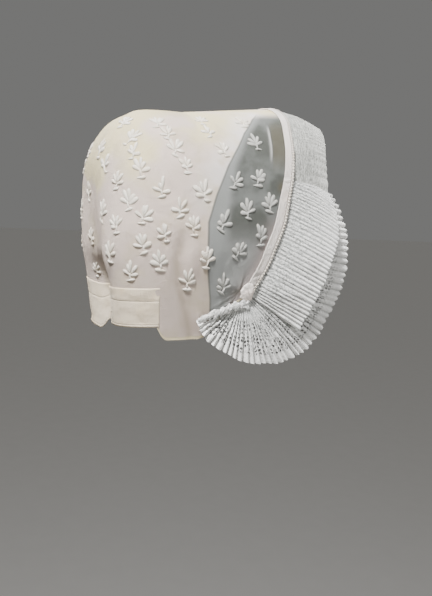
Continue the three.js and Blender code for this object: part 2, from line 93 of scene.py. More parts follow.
class Section(NamedTuple):
    """One section of the crown, as shares of its main sizes."""

    drop: float
    wide: float
    face: float
    back: float
    valley: float
    reach: float


class EdgePoint(NamedTuple):
    """One point of a free lace edge, as shares of half width, face reach and height."""

    side: float
    forward: float
    low: float


class SeamPoint(NamedTuple):
    """One point of a sewn line, with how far it stands out from the crown in metres."""

    at: float
    drop: float
    out: float


class Gather(NamedTuple):
    """A spot on the crown's side where the cloth is drawn together.

    Attributes:
        drop: Its drop share.
        inset: How far it lies behind the face edge, in metres.
        spread: How far its folds run, in metres.
        folds: How many of them would lie all round it.
        depth: How deep they are, in metres.
    """

    drop: float
    inset: float
    spread: float
    folds: float
    depth: float


class Shadow(NamedTuple):
    """A dark spot beside the face band, by millimetres behind it and drop share, with the spread of each."""

    behind: float
    wide: float
    drop: float
    tall: float
    strength: float


class Patches(NamedTuple):
    """Soft patches in a cloth: their noise, and the values of it at which they begin and are full."""

    scale: float
    detail: float
    low: float
    high: float


class Lamp(NamedTuple):
    """One soft studio light, in metres and watts."""

    name: str
    place: tuple[float, float, float]
    power: float
    size: float


class Petal(NamedTuple):
    """One padded petal of a sprig, in millimetres from the sprig's middle."""

    root: tuple[float, float]
    tip: tuple[float, float]
    width: float


# The crown, from its ridge down to its last row.
CROWN_SECTIONS = (
    Section(0.0, 0.0, 0.0, 0.0, 0.0, 1.0),
    Section(0.01, 0.193, 0.205, 0.428, 0.0, 0.994),
    Section(0.036, 0.386, 0.41, 0.579, 0.0, 0.983),
    Section(0.073, 0.542, 0.578, 0.72, 0.0, 0.966),
    Section(0.125, 0.675, 0.699, 0.815, 0.0, 0.943),
    Section(0.193, 0.795, 0.819, 0.885, 0.0, 0.92),
    Section(0.281, 0.904, 0.904, 0.931, 0.02, 0.892),
    Section(0.385, 0.964, 0.952, 0.969, 0.23, 0.847),
    Section(0.5, 1.0, 0.97, 0.994, 0.45, 0.801),
    Section(0.604, 1.0, 0.964, 1.0, 0.64, 0.722),
    Section(0.677, 0.988, 0.952, 0.994, 0.77, 0.665),
    Section(0.802, 0.952, 0.922, 0.956, 1.1, 0.523),
    Section(1.0, 0.892, 0.892, 0.881, 0.82, 0.273),
)

# Lower edges, and the nape band's upper one: drop share at a share of the face reach or a turn from the side.
CHEEK_HEM = (
    (-0.1, 1.005), (0.0, 1.003), (0.08, 0.99), (0.16, 0.94), (0.25, 0.885),
    (0.364, 0.845), (0.489, 0.817), (0.6, 0.797),
)
BACK_HEM = (
    (0, 1.003), (5, 1.005), (20.5, 1.005), (23, 0.99), (25.5, 0.955), (27.5, 0.81), (90, 0.852),
)
NAPE_TOP = ((23.5, 0.78), (60, 0.795), (90, 0.812))

# Lines down the side: share of the face reach at a drop share.
LINING_EDGE = (
    (0.0, 0.83), (0.06, 0.6), (0.12, 0.46), (0.193, 0.34), (0.26, 0.23), (0.385, 0.1),
    (0.5, 0.02), (0.61, 0.02), (0.72, 0.045), (0.83, 0.09), (1.0, 0.12),
)
SIDE_FOLD = (
    (0.5, -0.227), (0.604, -0.239), (0.667, -0.261), (0.771, -0.227), (0.854, -0.159),
    (1.0, -0.07),
)

# The lace's free edges and sewn lines.
# The brow edge has a point at each crown row up to 6, and two more a corner step apart.
BROW_EDGE = (
    EdgePoint(0.0, 1.614, 0.016), EdgePoint(0.108, 1.602, 0.026),
    EdgePoint(0.217, 1.574, 0.049), EdgePoint(0.325, 1.54, 0.078),
    EdgePoint(0.446, 1.494, 0.12), EdgePoint(0.566, 1.443, 0.182),
    EdgePoint(0.7, 1.405, 0.292), EdgePoint(0.748, 1.392, 0.334),
    EdgePoint(0.79, 1.38, 0.372),
)

SIDE_EDGE = (
    EdgePoint(0.771, 1.386, 0.349), EdgePoint(0.892, 1.398, 0.422),
    EdgePoint(0.988, 1.392, 0.5), EdgePoint(1.048, 1.352, 0.568),
    EdgePoint(1.084, 1.295, 0.63), EdgePoint(1.102, 1.239, 0.698),
    EdgePoint(1.098, 1.188, 0.766), EdgePoint(1.082, 1.119, 0.833),
    EdgePoint(1.054, 1.057, 0.901), EdgePoint(1.026, 1.0, 0.963),
)
SIDE_SEAM_DROPS = (0.304, 0.37, 0.432, 0.5, 0.563, 0.625, 0.682, 0.74, 0.786, 0.812)

UNDER_EDGE = (
    EdgePoint(0.687, 1.443, 0.344), EdgePoint(0.741, 1.506, 0.401),
    EdgePoint(0.795, 1.545, 0.464), EdgePoint(0.849, 1.574, 0.531),
    EdgePoint(0.892, 1.574, 0.604), EdgePoint(0.916, 1.557, 0.682),
    EdgePoint(0.928, 1.523, 0.76), EdgePoint(0.94, 1.455, 0.833),
    EdgePoint(0.952, 1.318, 0.948), EdgePoint(0.964, 1.17, 1.042),
    EdgePoint(0.976, 1.011, 1.083), EdgePoint(0.988, 0.841, 1.107),
    EdgePoint(1.0, 0.682, 1.109), EdgePoint(1.012, 0.534, 1.104),
    EdgePoint(1.018, 0.409, 1.089), EdgePoint(1.018, 0.284, 1.063),
    EdgePoint(1.006, 0.15, 1.027), EdgePoint(0.988, 0.03, 0.985),
    EdgePoint(0.964, -0.045, 0.915),
)
UNDER_SEAM = (
    SeamPoint(0.893, 0.304, -0.0042), SeamPoint(0.87, 0.37, -0.0042),
    SeamPoint(0.842, 0.432, -0.0042), SeamPoint(0.806, 0.5, -0.0042),
    SeamPoint(0.766, 0.563, -0.0042), SeamPoint(0.715, 0.625, -0.0042),
    SeamPoint(0.67, 0.682, -0.0042), SeamPoint(0.61, 0.74, -0.0042),
    SeamPoint(0.556, 0.775, -0.0042), SeamPoint(0.53, 0.802, -0.0045),
    SeamPoint(0.515, 0.834, -0.0034), SeamPoint(0.498, 0.845, -0.0016),
    SeamPoint(0.475, 0.848, 0.0002), SeamPoint(0.45, 0.85, 0.0014),
    SeamPoint(0.425, 0.846, 0.0018), SeamPoint(0.4, 0.849, 0.0019),
    SeamPoint(0.375, 0.852, 0.002), SeamPoint(0.35, 0.855, 0.0021),
    SeamPoint(0.33, 0.857, 0.0022),
)
UNDER_LAST = len(UNDER_SEAM) - 1
LEFT_BAND_HANG = 4 * MM
LEFT_BAND_EXTRA = 9.5 * MM
FAN_START = 9.0
SEAM_GAP = 0.9 * MM

GATHERS = (
    Gather(0.8, 12 * MM, 15 * MM, 11.0, 1.1 * MM),
    Gather(0.33, 9.5 * MM, 9 * MM, 9.0, 0.8 * MM),
)
SHADOWS = (
    Shadow(9.8, 2.6, 0.335, 0.022, 1.0),
    Shadow(14.0, 6.0, 0.795, 0.018, 0.7),
)


def fade(x: float, low: float, high: float) -> float:
    """A smooth step from 0 at low to 1 at high.

    Args:
        x: The value that is looked at.
        low: Where the step begins.
        high: Where the step ends.

    Returns:
        The share of the step that x has climbed.
    """
    share = min(max((x - low) / (high - low), 0.0), 1.0)
    return share * share * (3 - 2 * share)


def bell(x: float) -> float:
    """A rounded hump of height 1 about zero."""
    return math.exp(-x * x)


def straight(table: Sequence[tuple[float, float]], key: float) -> float:
    """Reads a two-column table along straight lines.

    Args:
        table: Rows of key and value, in the order of their keys.
        key: The key to read at.

    Returns:
        The value there.
    """
    if key <= table[0][0]:
        return table[0][1]
    for (low_key, low), (high_key, high) in zip(table, table[1:]):
        if key <= high_key:
            return low + (high - low) * (key - low_key) / (high_key - low_key)
    return table[-1][1]


def smooth(values: Sequence[float], row: float, start_sign: int = 0) -> float:
    """Reads a column of values along a smooth curve.

    Args:
        values: The column.
        row: The fractional row to read at.
        start_sign: 1 where the column mirrors at its first row, -1 where it changes sign, 0 for neither.

    Returns:
        The value there.
    """
    last = len(values) - 1
    place = min(max(row, 0.0), float(last))
    i = min(int(place), last - 1)
    f = place - i

    def value(k: int) -> float:
        """One value of the column, carried on past its ends."""
        if k < 0:
            return start_sign * values[-k] if start_sign else 2 * values[0] - values[1]
        if k > last:
            return 2 * values[last] - values[last - 1]
        return values[k]

    a, b, c, d = value(i - 1), value(i), value(i + 1), value(i + 2)
    lead, trail = (c - a) / 2, (d - b) / 2
    return (
        (2 * f**3 - 3 * f**2 + 1) * b
        + (f**3 - 2 * f**2 + f) * lead
        + (3 * f**2 - 2 * f**3) * c
        + (f**3 - f**2) * trail
    )


@dataclass(eq=False)
class CrownForm:
    """The crown's shape as worn, which every piece is set against. Its points are on the right side."""

    height: float = 192 * MM
    half_width: float = 83 * MM
    back_reach: float = 82 * MM
    face_reach: float = 88 * MM
    front_rise: float = 11.5 * MM
    level_ahead: float = 0.25
    squareness: float = 3.0
    wall: float = 1.2 * MM
    rim_inset: float = 1.5 * MM
    valley_depth: float = 22 * MM
    valley_spread: float = 40 * MM
    side_fold_depth: float = 2.4 * MM
    side_fold_spread: float = 6 * MM
    temple_fold_depth: float = 2 * MM
    temple_fold_spread: float = 4 * MM
    temple_fold_inset: float = 17 * MM
    rise_loss: float = 3.2
    face_bend: float = 1.6
    side_fold_start: Span = (0.5, 0.62)
    side_fold_ridge: float = 0.5
    side_fold_ridge_away: float = 1.9
    side_fold_loss: float = 1.3
    temple_fold_start: Span = (0.03, 0.1)
    temple_fold_end: Span = (0.22, 0.3)
    valley_turns: Span = (30, 60)
    hem_guess: float = 0.83
    hem_rounds: int = 12
    normal_step: float = 0.5 * MM
    normal_rows: float = 0.05
    back_share: float = 0.62
    steps_a_row: int = 200
    curves: dict[str, list[float]] = field(init=False, repr=False)

    def __post_init__(self) -> None:
        """Reads the sections once, finely, so that later readings are quick."""
        signs = {"drop": 1, "valley": 1, "reach": 1, "wide": -1, "face": -1, "back": -1}
        steps = range((len(CROWN_SECTIONS) - 1) * self.steps_a_row + 1)
        self.curves = {}
        for name, sign in signs.items():
            column = [getattr(section, name) for section in CROWN_SECTIONS]
            self.curves[name] = [smooth(column, step / self.steps_a_row, sign) for step in steps]

    @property
    def top(self) -> float:
        """Height of the ridge where it is level."""
        return self.wall + self.front_rise * self.level_ahead

    def value(self, column: str, row: float) -> float:
        """One column of the sections at a fractional row.

        Args:
            column: The column's name.
            row: The crown row.

        Returns:
            The value.
        """
        curve = self.curves[column]
        place = min(max(row * self.steps_a_row, 0.0), len(curve) - 1.0)
        i = min(int(place), len(curve) - 2)
        return curve[i] + (curve[i + 1] - curve[i]) * (place - i)

    def row_at(self, drop: float) -> float:
        """The fractional row at a drop share.

        Args:
            drop: The drop share.

        Returns:
            The row.
        """
        curve = self.curves["drop"]
        i = min(max(bisect_right(curve, drop) - 1, 0), len(curve) - 2)
        share = min(max((drop - curve[i]) / (curve[i + 1] - curve[i]), 0.0), 1.0)
        return (i + share) / self.steps_a_row

    def reach_at(self, row: float) -> float:
        """How far forward the face edge lies at a row."""
        return self.value("reach", row) * self.face_reach

    def height_at(self, drop: float, ahead: float) -> float:
        """Height of the cloth at a drop share and a share of the way to the face."""
        rise = self.front_rise * (ahead - self.level_ahead) * max(1 - self.rise_loss * drop, 0)
        return self.top - drop * self.height + rise

    def fold_sink(self, row: float, forward: float) -> float:
        """How deep the side fold and the temple fold sink the cloth.

        Args:
            row: The crown row.
            forward: The distance towards the face.

        Returns:
            The depth in metres.
        """
        drop = self.value("drop", row)
        centre = straight(SIDE_FOLD, drop) * self.face_reach
        side = (forward - centre) / self.side_fold_spread
        temple = (forward - self.reach_at(row) + self.temple_fold_inset) / self.temple_fold_spread
        side_shape = bell(side) - self.side_fold_ridge * bell(side - self.side_fold_ridge_away)
        side_depth = fade(drop, *self.side_fold_start) * self.side_fold_depth
        temple_share = fade(drop, *self.temple_fold_start) * (1 - fade(drop, *self.temple_fold_end))
        return side_depth * side_shape + temple_share * self.temple_fold_depth * bell(temple)

    def side_point(self, row: float, forward: float, lower: float = 0.0) -> Vector:
        """A point on the right side, at a row and a distance towards the face.

        Args:
            row: The crown row.
            forward: The distance towards the face.
            lower: How far below the last row the point lies.

        Returns:
            The point.
        """
        wide = self.value("wide", row) * self.half_width
        face = self.value("face", row) * self.half_width
        back = self.value("back", row) * self.back_reach
        ahead = max(forward, 0.0) / self.reach_at(row)
        side = wide + (face - wide) * ahead**self.face_bend
        if forward < 0 and back > 0:
            share = min(-forward / back, 0.999)
            side = wide * (1 - share**self.squareness) ** (1 / self.squareness)
        side = max(side - self.fold_sink(row, forward), 0.0)
        return Vector((-side, -forward, self.height_at(self.value("drop", row), ahead) - lower))

    def round_point(self, row: float, turn: float, lower: float = 0.0) -> Vector:
        """A point round the back, at a row and a turn in degrees from the side.

        Args:
            row: The crown row.
            turn: 0 at the side and 90 at the centre back.
            lower: How far below the last row the point lies.

        Returns:
            The point.
        """
        wide = self.value("wide", row) * self.half_width
        back = self.value("back", row) * self.back_reach
        z = self.height_at(self.value("drop", row), 0.0) - lower
        if wide <= 0 or back <= 0:
            return Vector((0, 0, z))
        across, along = math.cos(math.radians(turn)), math.sin(math.radians(turn))
        n = self.squareness
        radius = ((abs(across) / wide) ** n + (abs(along) / back) ** n) ** (-1 / n)
        side, away = radius * across, radius * along
        dip = self.value("valley", row) * self.valley_depth * bell(side / self.valley_spread)
        sink = self.fold_sink(row, -away) * max(1 - along * self.side_fold_loss, 0)
        return Vector((-max(side - sink, 0.0), away - dip * fade(turn, *self.valley_turns), z))

    def place(self, around: float, drop: float) -> Vector:
        """A point of the crown by its way round and its drop.

        Args:
            around: 0 at the centre back and 1 at the right face edge, or -1 at the left one.
            drop: The drop share, which may pass 1 below the last row.

        Returns:
            The point.
        """
        row, lower = self.row_at(drop), max(drop - 1, 0) * self.height
        share = abs(around)
        if share < self.back_share:
            point = self.round_point(row, 90 * (1 - share / self.back_share), lower)
        else:
            ahead = (share - self.back_share) / (1 - self.back_share)
            point = self.side_point(row, ahead * (self.reach_at(row) - self.rim_inset), lower)
        if around < 0:
            point.x = -point.x
        return point

    @lru_cache(maxsize=None)
    def hem_drop(self, around: float) -> float:
        """Drop share of the lower edge, by the way round.

        Args:
            around: The way round, 0 at the centre back.

        Returns:
            The drop share.
        """
        share = abs(around)
        if share < self.back_share:
            return straight(BACK_HEM, 90 * (1 - share / self.back_share))
        ahead = (share - self.back_share) / (1 - self.back_share)
        drop = self.hem_guess
        for _ in range(self.hem_rounds):
            forward = ahead * (self.reach_at(self.row_at(drop)) - self.rim_inset) / self.face_reach
            drop = (drop + straight(CHEEK_HEM, forward)) / 2
        return drop

    def outward(self, row: float, forward: float) -> Vector:
        """The way out of the cloth near a point of the right side.

        Args:
            row: The crown row.
            forward: The distance towards the face.

        Returns:
            The direction.
        """
        step, rows = self.normal_step, self.normal_rows
        along = self.side_point(row, forward + step) - self.side_point(row, forward - step)
        down = self.side_point(row + rows, forward) - self.side_point(max(row - rows, 0.001), forward)
        return down.cross(along).normalized()


# Where the sprigs of one side stand, by way round and drop share, and those the left side has besides.
SPRIG_PLACES = (
    (0.2, 0.086), (0.375, 0.082), (0.655, 0.058), (0.29, 0.154), (0.445, 0.13), (0.655, 0.11),
    (0.815, 0.07), (0.11, 0.202), (0.32, 0.222), (0.49, 0.194), (0.705, 0.19), (0.19, 0.275),
    (0.36, 0.291), (0.535, 0.267), (0.85, 0.158), (0.27, 0.347), (0.445, 0.371), (0.605, 0.371),
    (0.75, 0.319), (0.85, 0.299), (0.33, 0.423), (0.195, 0.479), (0.39, 0.479), (0.51, 0.443),
    (0.565, 0.511), (0.81, 0.439), (0.915, 0.407), (0.285, 0.523), (0.46, 0.547), (0.705, 0.495),
    (0.385, 0.595), (0.26, 0.639), (0.9, 0.547), (0.81, 0.615), (0.63, 0.647), (0.45, 0.663),
    (0.345, 0.715), (0.555, 0.739), (0.77, 0.764),
)
LEFT_BACK_SPRIGS = ((-0.065, 0.395), (-0.08, 0.599), (-0.12, 0.756))

# A sprig's stem, foot, two leaves and three petals; one of the petals may be missing.
SPRIG_PETALS = (
    Petal((0.2, -8.4), (0.0, -1.6), 1.6),
    Petal((-4.0, -8.9), (3.8, -7.6), 2.7),
    Petal((0.4, -3.2), (-7.0, 0.2), 3.3),
    Petal((-0.2, -4.0), (7.4, -1.6), 3.8),
    Petal((0.0, -2.4), (-3.7, 6.6), 3.5),
    Petal((0.3, -1.4), (1.3, 8.6), 3.0),
    Petal((0.5, -2.6), (5.8, 5.0), 3.6),
)
UPPER_PETALS = SPRIG_PETALS[4:]


class Recipe:
    """One material under construction: its node tree and the shader that ends it."""

    SPECULAR = 0.25

    def __init__(self, name: str, roughness: float, sheen: float = 0.0) -> None:
        """Starts the material with its constant values.

        Args:
            name: The material's name.
            roughness: The shader's roughness.
            sheen: The shader's sheen weight.
        """
        self.material = bpy.data.materials.new(name)
        self.material.use_nodes = True
        self.tree = self.material.node_tree
        self.shader = self.tree.nodes["Principled BSDF"]
        self.shader.inputs["Roughness"].default_value = roughness
        self.shader.inputs["Sheen Weight"].default_value = sheen
        self.shader.inputs["Specular IOR Level"].default_value = self.SPECULAR

    def node(self, kind: str, inputs: dict[str | int, object], **options: object) -> bpy.types.Node:
        """Adds a node.

        Args:
            kind: The node's type.
            inputs: Values or sockets by input name or number.
            options: The node's own settings.

        Returns:
            The node.
        """
        made = self.tree.nodes.new(kind)
        for key, value in options.items():
            setattr(made, key, value)
        for key, value in inputs.items():
            if isinstance(value, Socket):
                self.tree.links.new(value, made.inputs[key])
            else:
                made.inputs[key].default_value = value
        return made

    def cloth(self) -> tuple[Socket, Socket]:
        """The cloth's own coordinates, in millimetres along and across.

        Returns:
            The two coordinates.
        """
        uv = self.node("ShaderNodeUVMap", {}, uv_map="cloth")
        parts = self.node("ShaderNodeSeparateXYZ", {"Vector": uv.outputs["UV"]})
        return parts.outputs["X"], parts.outputs["Y"]

    def place(self) -> Socket:
        """The object's coordinates, in metres."""
        return self.node("ShaderNodeTexCoord", {}).outputs["Object"]

    def reading(self, name: str) -> Socket:
        """A value kept at the mesh's points."""
        return self.node("ShaderNodeAttribute", {}, attribute_name=name).outputs["Fac"]

    def maths(self, operation: str, first: object, second: object = 0.0, third: object = 0.5) -> Socket:
        """One sum of two values, or of three."""
        return self.node("ShaderNodeMath", {0: first, 1: second, 2: third}, operation=operation).outputs[0]

    def plus(self, first: object, second: object) -> Socket:
        """Two values together."""
        return self.maths("ADD", first, second)

    def less(self, first: object, second: object) -> Socket:
        """One value less another."""
        return self.maths("SUBTRACT", first, second)

    def times(self, first: object, second: object) -> Socket:
        """One value times another."""
        return self.maths("MULTIPLY", first, second)

    def rest(self, share: object) -> Socket:
        """What a share leaves of 1."""
        return self.less(1.0, share)

    def fade(self, value: object, low: float, high: float) -> Socket:
        """A smooth step from 0 at low to 1 at high.

        Args:
            value: The value that is looked at.
            low: Where the step begins.
            high: Where it ends.

        Returns:
            The share of the step.
        """
        return self.node(
            "ShaderNodeMapRange",
            {"Value": value, "From Min": low, "From Max": high},
            interpolation_type="SMOOTHSTEP",
        ).outputs["Result"]

    def mottle(self, scale: float, detail: float = 2.0, at: object = None) -> Socket:
        """Soft noise of that scale, read at the object's place unless another is given."""
        inputs = {"Vector": self.place() if at is None else at, "Scale": scale, "Detail": detail}
        return self.node("ShaderNodeTexNoise", inputs).outputs["Fac"]

    def patches(self, spots: Patches, lift: object = None) -> Socket:
        """Where soft patches show.

        Args:
            spots: The patches.
            lift: A value added to their noise, where there are more of them in some places.

        Returns:
            The share of them at each point.
        """
        value = self.mottle(spots.scale, spots.detail)
        if lift is not None:
            value = self.plus(value, lift)
        return self.fade(value, spots.low, spots.high)

    def tint(self, share: object, low: Sequence[float], high: Sequence[float]) -> Socket:
        """A colour between two others."""
        inputs = {"Factor": share, 6: low, 7: high}
        return self.node("ShaderNodeMix", inputs, data_type="RGBA").outputs[2]

    def wave(self, value: object, pitch: float) -> Socket:
        """A sine of that pitch, from 0 to 1."""
        turned = self.times(value, 2 * math.pi / pitch)
        return self.maths("MULTIPLY_ADD", self.maths("SINE", turned), 0.5, 0.5)

    def streaks(self, along: float, across: float, detail: float = 2.0) -> Socket:
        """Noise on the cloth's own coordinates, of those lengths in millimetres.

        Args:
            along: The length of a streak along the cloth.
            across: The length of a streak across the cloth.
            detail: How many finer layers it has.

        Returns:
            The noise's value.
        """
        uv = self.node("ShaderNodeUVMap", {}, uv_map="cloth").outputs["UV"]
        inputs = {0: uv, 1: (1 / along, 1 / across, 1.0)}
        at = self.node("ShaderNodeVectorMath", inputs, operation="MULTIPLY").outputs["Vector"]
        return self.mottle(1.0, detail, at)

    def weave(self, pitch: float) -> Socket:
        """Plain weave: threads over and under each other.

        Args:
            pitch: The threads' pitch in millimetres.

        Returns:
            The weave's height, from 0 to 1.
        """
        along, across = self.cloth()
        over = self.maths("SINE", self.times(along, 2 * math.pi / pitch))
        under = self.maths("SINE", self.times(across, 2 * math.pi / pitch))
        return self.maths("MULTIPLY_ADD", self.times(over, under), 0.5, 0.5)

    def relief(self, height: object, distance: float, strength: float = 1.0) -> None:
        """Feeds a height to the shader's normal.

        Args:
            height: The height, about 0 to 1.
            distance: How far a height of 1 stands out, in metres.
            strength: How strongly it shows.
        """
        bump = self.node("ShaderNodeBump", {"Height": height, "Distance": distance, "Strength": strength})
        self.tree.links.new(bump.outputs["Normal"], self.shader.inputs["Normal"])

    def finish(self, colour: object, alpha: object = None) -> bpy.types.Material:
        """Feeds colour and alpha to the shader.

        Args:
            colour: The base colour's socket.
            alpha: The alpha's socket, where the cloth is sheer.

        Returns:
            The finished material.
        """
        self.tree.links.new(colour, self.shader.inputs["Base Color"])
        if alpha is not None:
            self.tree.links.new(alpha, self.shader.inputs["Alpha"])
        return self.material


@dataclass(frozen=True)
class SheerMuslin:
    """Fine muslin: creamy where the lining backs it, and see-through in front of it, where it is grey with
    painted shade of the dark inside.

    A span is in millimetres: a drop is measured below the ridge, a turning and a hem stitch above
    the lower edge, and the others ahead of the lining's front edge.
    """

    cream: Colour = (0.88, 0.76, 0.46, 1)
    rose: Colour = (0.85, 0.70, 0.60, 1)
    # Painted highlight: lighter cloth high up behind the lining's front edge.
    rim_highlight: Colour = (0.95, 0.87, 0.82, 1)
    # Painted shade: the cloth darkens towards the lower edge.
    low: Colour = (0.47, 0.40, 0.35, 1)
    stain: Colour = (0.70, 0.58, 0.38, 1)
    # The sheer colours are greys of painted shade: the dark inside of the crown seen through the cloth.
    strip_sheer: Colour = (0.34, 0.35, 0.335, 1)
    pale_sheer: Colour = (0.18, 0.189, 0.176, 1)
    deep_sheer: Colour = (0.085, 0.09, 0.078, 1)
    low_sheer: Colour = (0.46, 0.465, 0.445, 1)
    rosy_sheer: Colour = (0.40, 0.32, 0.30, 1)
    fold_highlight_colour: Colour = (0.88, 0.86, 0.82, 1)
    edge_shade_and_stitches: Colour = (0.16, 0.157, 0.145, 1)
    crease_shade: Colour = (0.46, 0.37, 0.27, 1)
    recess_shade: Colour = (0.10, 0.088, 0.055, 1)
    rose_patches: Patches = Patches(15.0, 3.0, 0.5, 0.64)
    rose_drop: Span = (20.0, 95.0)
    rose_gain: float = 0.22
    rim_highlight_patches: Patches = Patches(24.0, 2.0, 0.3, 0.55)
    rim_highlight_reach: Span = (-34.0, -3.0)
    rim_highlight_drop: Span = (50.0, 115.0)
    stain_patches: Patches = Patches(40.0, 4.0, 0.5, 0.66)
    stain_strength: float = 0.5
    low_shade_drop: Span = (85.0, 165.0)
    low_shade_strength: float = 0.4
    cloud_patches: Patches = Patches(30.0, 4.0, 0.42, 0.62)
    cloud_drop: Span = (105.0, 140.0)
    cloud_gain: float = 0.22
    low_sheer_drop: Span = (90.0, 130.0)
    low_sheer_strength: float = 0.75
    blush_strength: float = 0.8
    opening: Span = (-0.2, 0.6)
    opening_drop: Span = (5.0, 12.0)
    edge_start: Span = (-1.4, -0.1)
    edge_end: Span = (0.3, 1.6)
    edge_strength: float = 0.85
    crease_shade_patches: Patches = Patches(90.0, 3.0, 0.2, 0.55)
    crease_shade_strength: float = 0.75
    recess_strength: float = 0.85
    turning: Span = (2.4, 2.9)
    turning_strength: float = 0.7
    stitch_start: Span = (1.9, 2.2)
    stitch_end: Span = (2.5, 2.8)
    stitch_gap: Span = (0.0, 0.25)
    stitch_pitch: float = 1.8
    stitch_strength: float = 0.35
    thread_pitch: float = 0.5
    sheer_alpha: float = 0.9
    fine_rumple: float = 3.0
    broad_rumple: float = 7.0
    relief_height: float = 0.5 * MM
    relief_strength: float = 0.7

    def lined(self, r: Recipe) -> Socket:
        """The colour where the lining backs the cloth, with a painted highlight high up behind the lining's
        edge and painted shade towards the bottom.

        Args:
            r: The material under construction.

        Returns:
            The colour.
        """
        ahead, ridge = r.reading("ahead_of_lining"), r.reading("below_ridge")
        rosy = r.patches(self.rose_patches, r.times(r.fade(ridge, *self.rose_drop), self.rose_gain))
        colour = r.tint(rosy, self.cream, self.rose)
        # Painted highlight behind the lining's edge, high up and in patches.
        beside = r.times(r.fade(ahead, *self.rim_highlight_reach), r.rest(r.fade(ridge, *self.rim_highlight_drop)))
        colour = r.tint(r.times(beside, r.patches(self.rim_highlight_patches)), colour, self.rim_highlight)
        colour = r.tint(r.times(r.patches(self.stain_patches), self.stain_strength), colour, self.stain)
        # Painted shade: darker towards the bottom.
        return r.tint(r.times(r.fade(ridge, *self.low_shade_drop), self.low_shade_strength), colour, self.low)

    def unlined(self, r: Recipe) -> Socket:
        """The colour in front of the lining, where the shade inside the crown shows through.

        Args:
            r: The material under construction.

        Returns:
            The colour.
        """
        ridge = r.reading("below_ridge")
        cloudy = r.patches(self.cloud_patches, r.times(r.fade(ridge, *self.cloud_drop), self.cloud_gain))
        colour = r.tint(cloudy, self.deep_sheer, self.pale_sheer)
        low = r.times(r.fade(ridge, *self.low_sheer_drop), self.low_sheer_strength)
        colour = r.tint(low, colour, self.low_sheer)
        colour = r.tint(r.times(r.reading("blush"), self.blush_strength), colour, self.rosy_sheer)
        return r.tint(r.reading("veil"), self.strip_sheer, colour)

    def worn(self, r: Recipe, colour: Socket) -> Socket:
        """Adds painted shade along the lining's edge, painted brownish shade in the side fold and the nape's
        valley, the painted shade beside the band and a painted highlight on the standing fold's crest.

        Args:
            r: The material under construction.
            colour: The cloth's colour.

        Returns:
            The colour with these.
        """
        ahead = r.reading("ahead_of_lining")
        # Painted shade: a thin dark line along the lining's front edge.
        edge = r.less(r.fade(ahead, *self.edge_start), r.fade(ahead, *self.edge_end))
        edge = r.times(edge, r.fade(r.reading("below_ridge"), *self.opening_drop))
        colour = r.tint(r.times(edge, self.edge_strength), colour, self.edge_shade_and_stitches)
        # Painted brownish shade in the side fold and the nape's valley, in patches.
        shaded_crease = r.times(r.reading("crease"), r.patches(self.crease_shade_patches))
        colour = r.tint(r.times(shaded_crease, self.crease_shade_strength), colour, self.crease_shade)
        colour = r.tint(r.times(r.reading("recess"), self.recess_strength), colour, self.recess_shade)
        # Painted highlight along the crest of the standing fold.
        return r.tint(r.reading("fold_highlight"), colour, self.fold_highlight_colour)

    def hemmed(self, r: Recipe, colour: Socket) -> Socket:
        """Adds the turned-up hem and its stitches.

        Args:
            r: The material under construction.
            colour: The cloth's colour.

        Returns:
            The colour with the hem.
        """
        hem = r.reading("above_hem")
        turned_up = r.rest(r.fade(hem, *self.turning))
        colour = r.tint(r.times(turned_up, self.turning_strength), colour, self.cream)
        line = r.less(r.fade(hem, *self.stitch_start), r.fade(hem, *self.stitch_end))
        along, _ = r.cloth()
        dashes = r.times(line, r.fade(r.wave(along, self.stitch_pitch), *self.stitch_gap))
        return r.tint(r.times(dashes, self.stitch_strength), colour, self.edge_shade_and_stitches)

    def make(self) -> bpy.types.Material:
        """Builds the material.

        Returns:
            The material.
        """
        r = Recipe("sprigged_muslin", 0.88, 0.15)
        ahead, ridge = r.reading("ahead_of_lining"), r.reading("below_ridge")
        opened = r.times(r.fade(ahead, *self.opening), r.fade(ridge, *self.opening_drop))
        colour = self.hemmed(r, self.worn(r, r.tint(opened, self.lined(r), self.unlined(r))))
        fine = r.times(r.mottle(140.0, 4.0), self.fine_rumple)
        broad = r.times(r.mottle(38.0, 3.0), self.broad_rumple)
        height = r.plus(r.weave(self.thread_pitch), r.plus(fine, broad))
        r.relief(height, self.relief_height, self.relief_strength)
        return r.finish(colour, r.maths("MULTIPLY_ADD", opened, self.sheer_alpha - 1.0, 1.0))


@dataclass(frozen=True)
class PlainCotton:
    """Plain cotton cloth, with its weave, a little yellowing and its rows of stitches."""

    name: str
    light: Colour = (0.80, 0.76, 0.69, 1)
    aged: Colour = (0.72, 0.655, 0.53, 1)
    stitch_shade: Colour = (0.36, 0.32, 0.26, 1)
    aged_patches: Patches = Patches(45.0, 4.0, 0.45, 0.75)
    thread_pitch: float = 0.7
    stitch_lines: tuple[float, ...] = ()
    stitch_pitch: float = 2.2
    stitch_gap: Span = (-0.05, 0.2)
    stitch_strength: float = 0.45
    stitch_reach: Span = (0.2, 0.65)
    stitch_pull: float = 2.0
    fine_rumple: float = 2.0
    rumple: float = 0.2 * MM
    relief_strength: float = 0.7

    def make(self) -> bpy.types.Material:
        """Builds the material.

        Returns:
            The material.
        """
        r = Recipe(self.name, 0.9, 0.1)
        colour = r.tint(r.patches(self.aged_patches), self.light, self.aged)
        along, across = r.cloth()
        height = r.plus(r.weave(self.thread_pitch), r.times(r.mottle(220.0, 3.0), self.fine_rumple))
        dash = r.fade(r.wave(along, self.stitch_pitch), *self.stitch_gap)
        for line in self.stitch_lines:
            near = r.rest(r.fade(r.maths("ABSOLUTE", r.less(across, line)), *self.stitch_reach))
            marks = r.times(r.times(near, dash), self.stitch_strength)
            colour = r.tint(marks, colour, self.stitch_shade)
            height = r.less(height, r.times(near, self.stitch_pull))
        r.relief(height, self.rumple, self.relief_strength)
        return r.finish(colour)


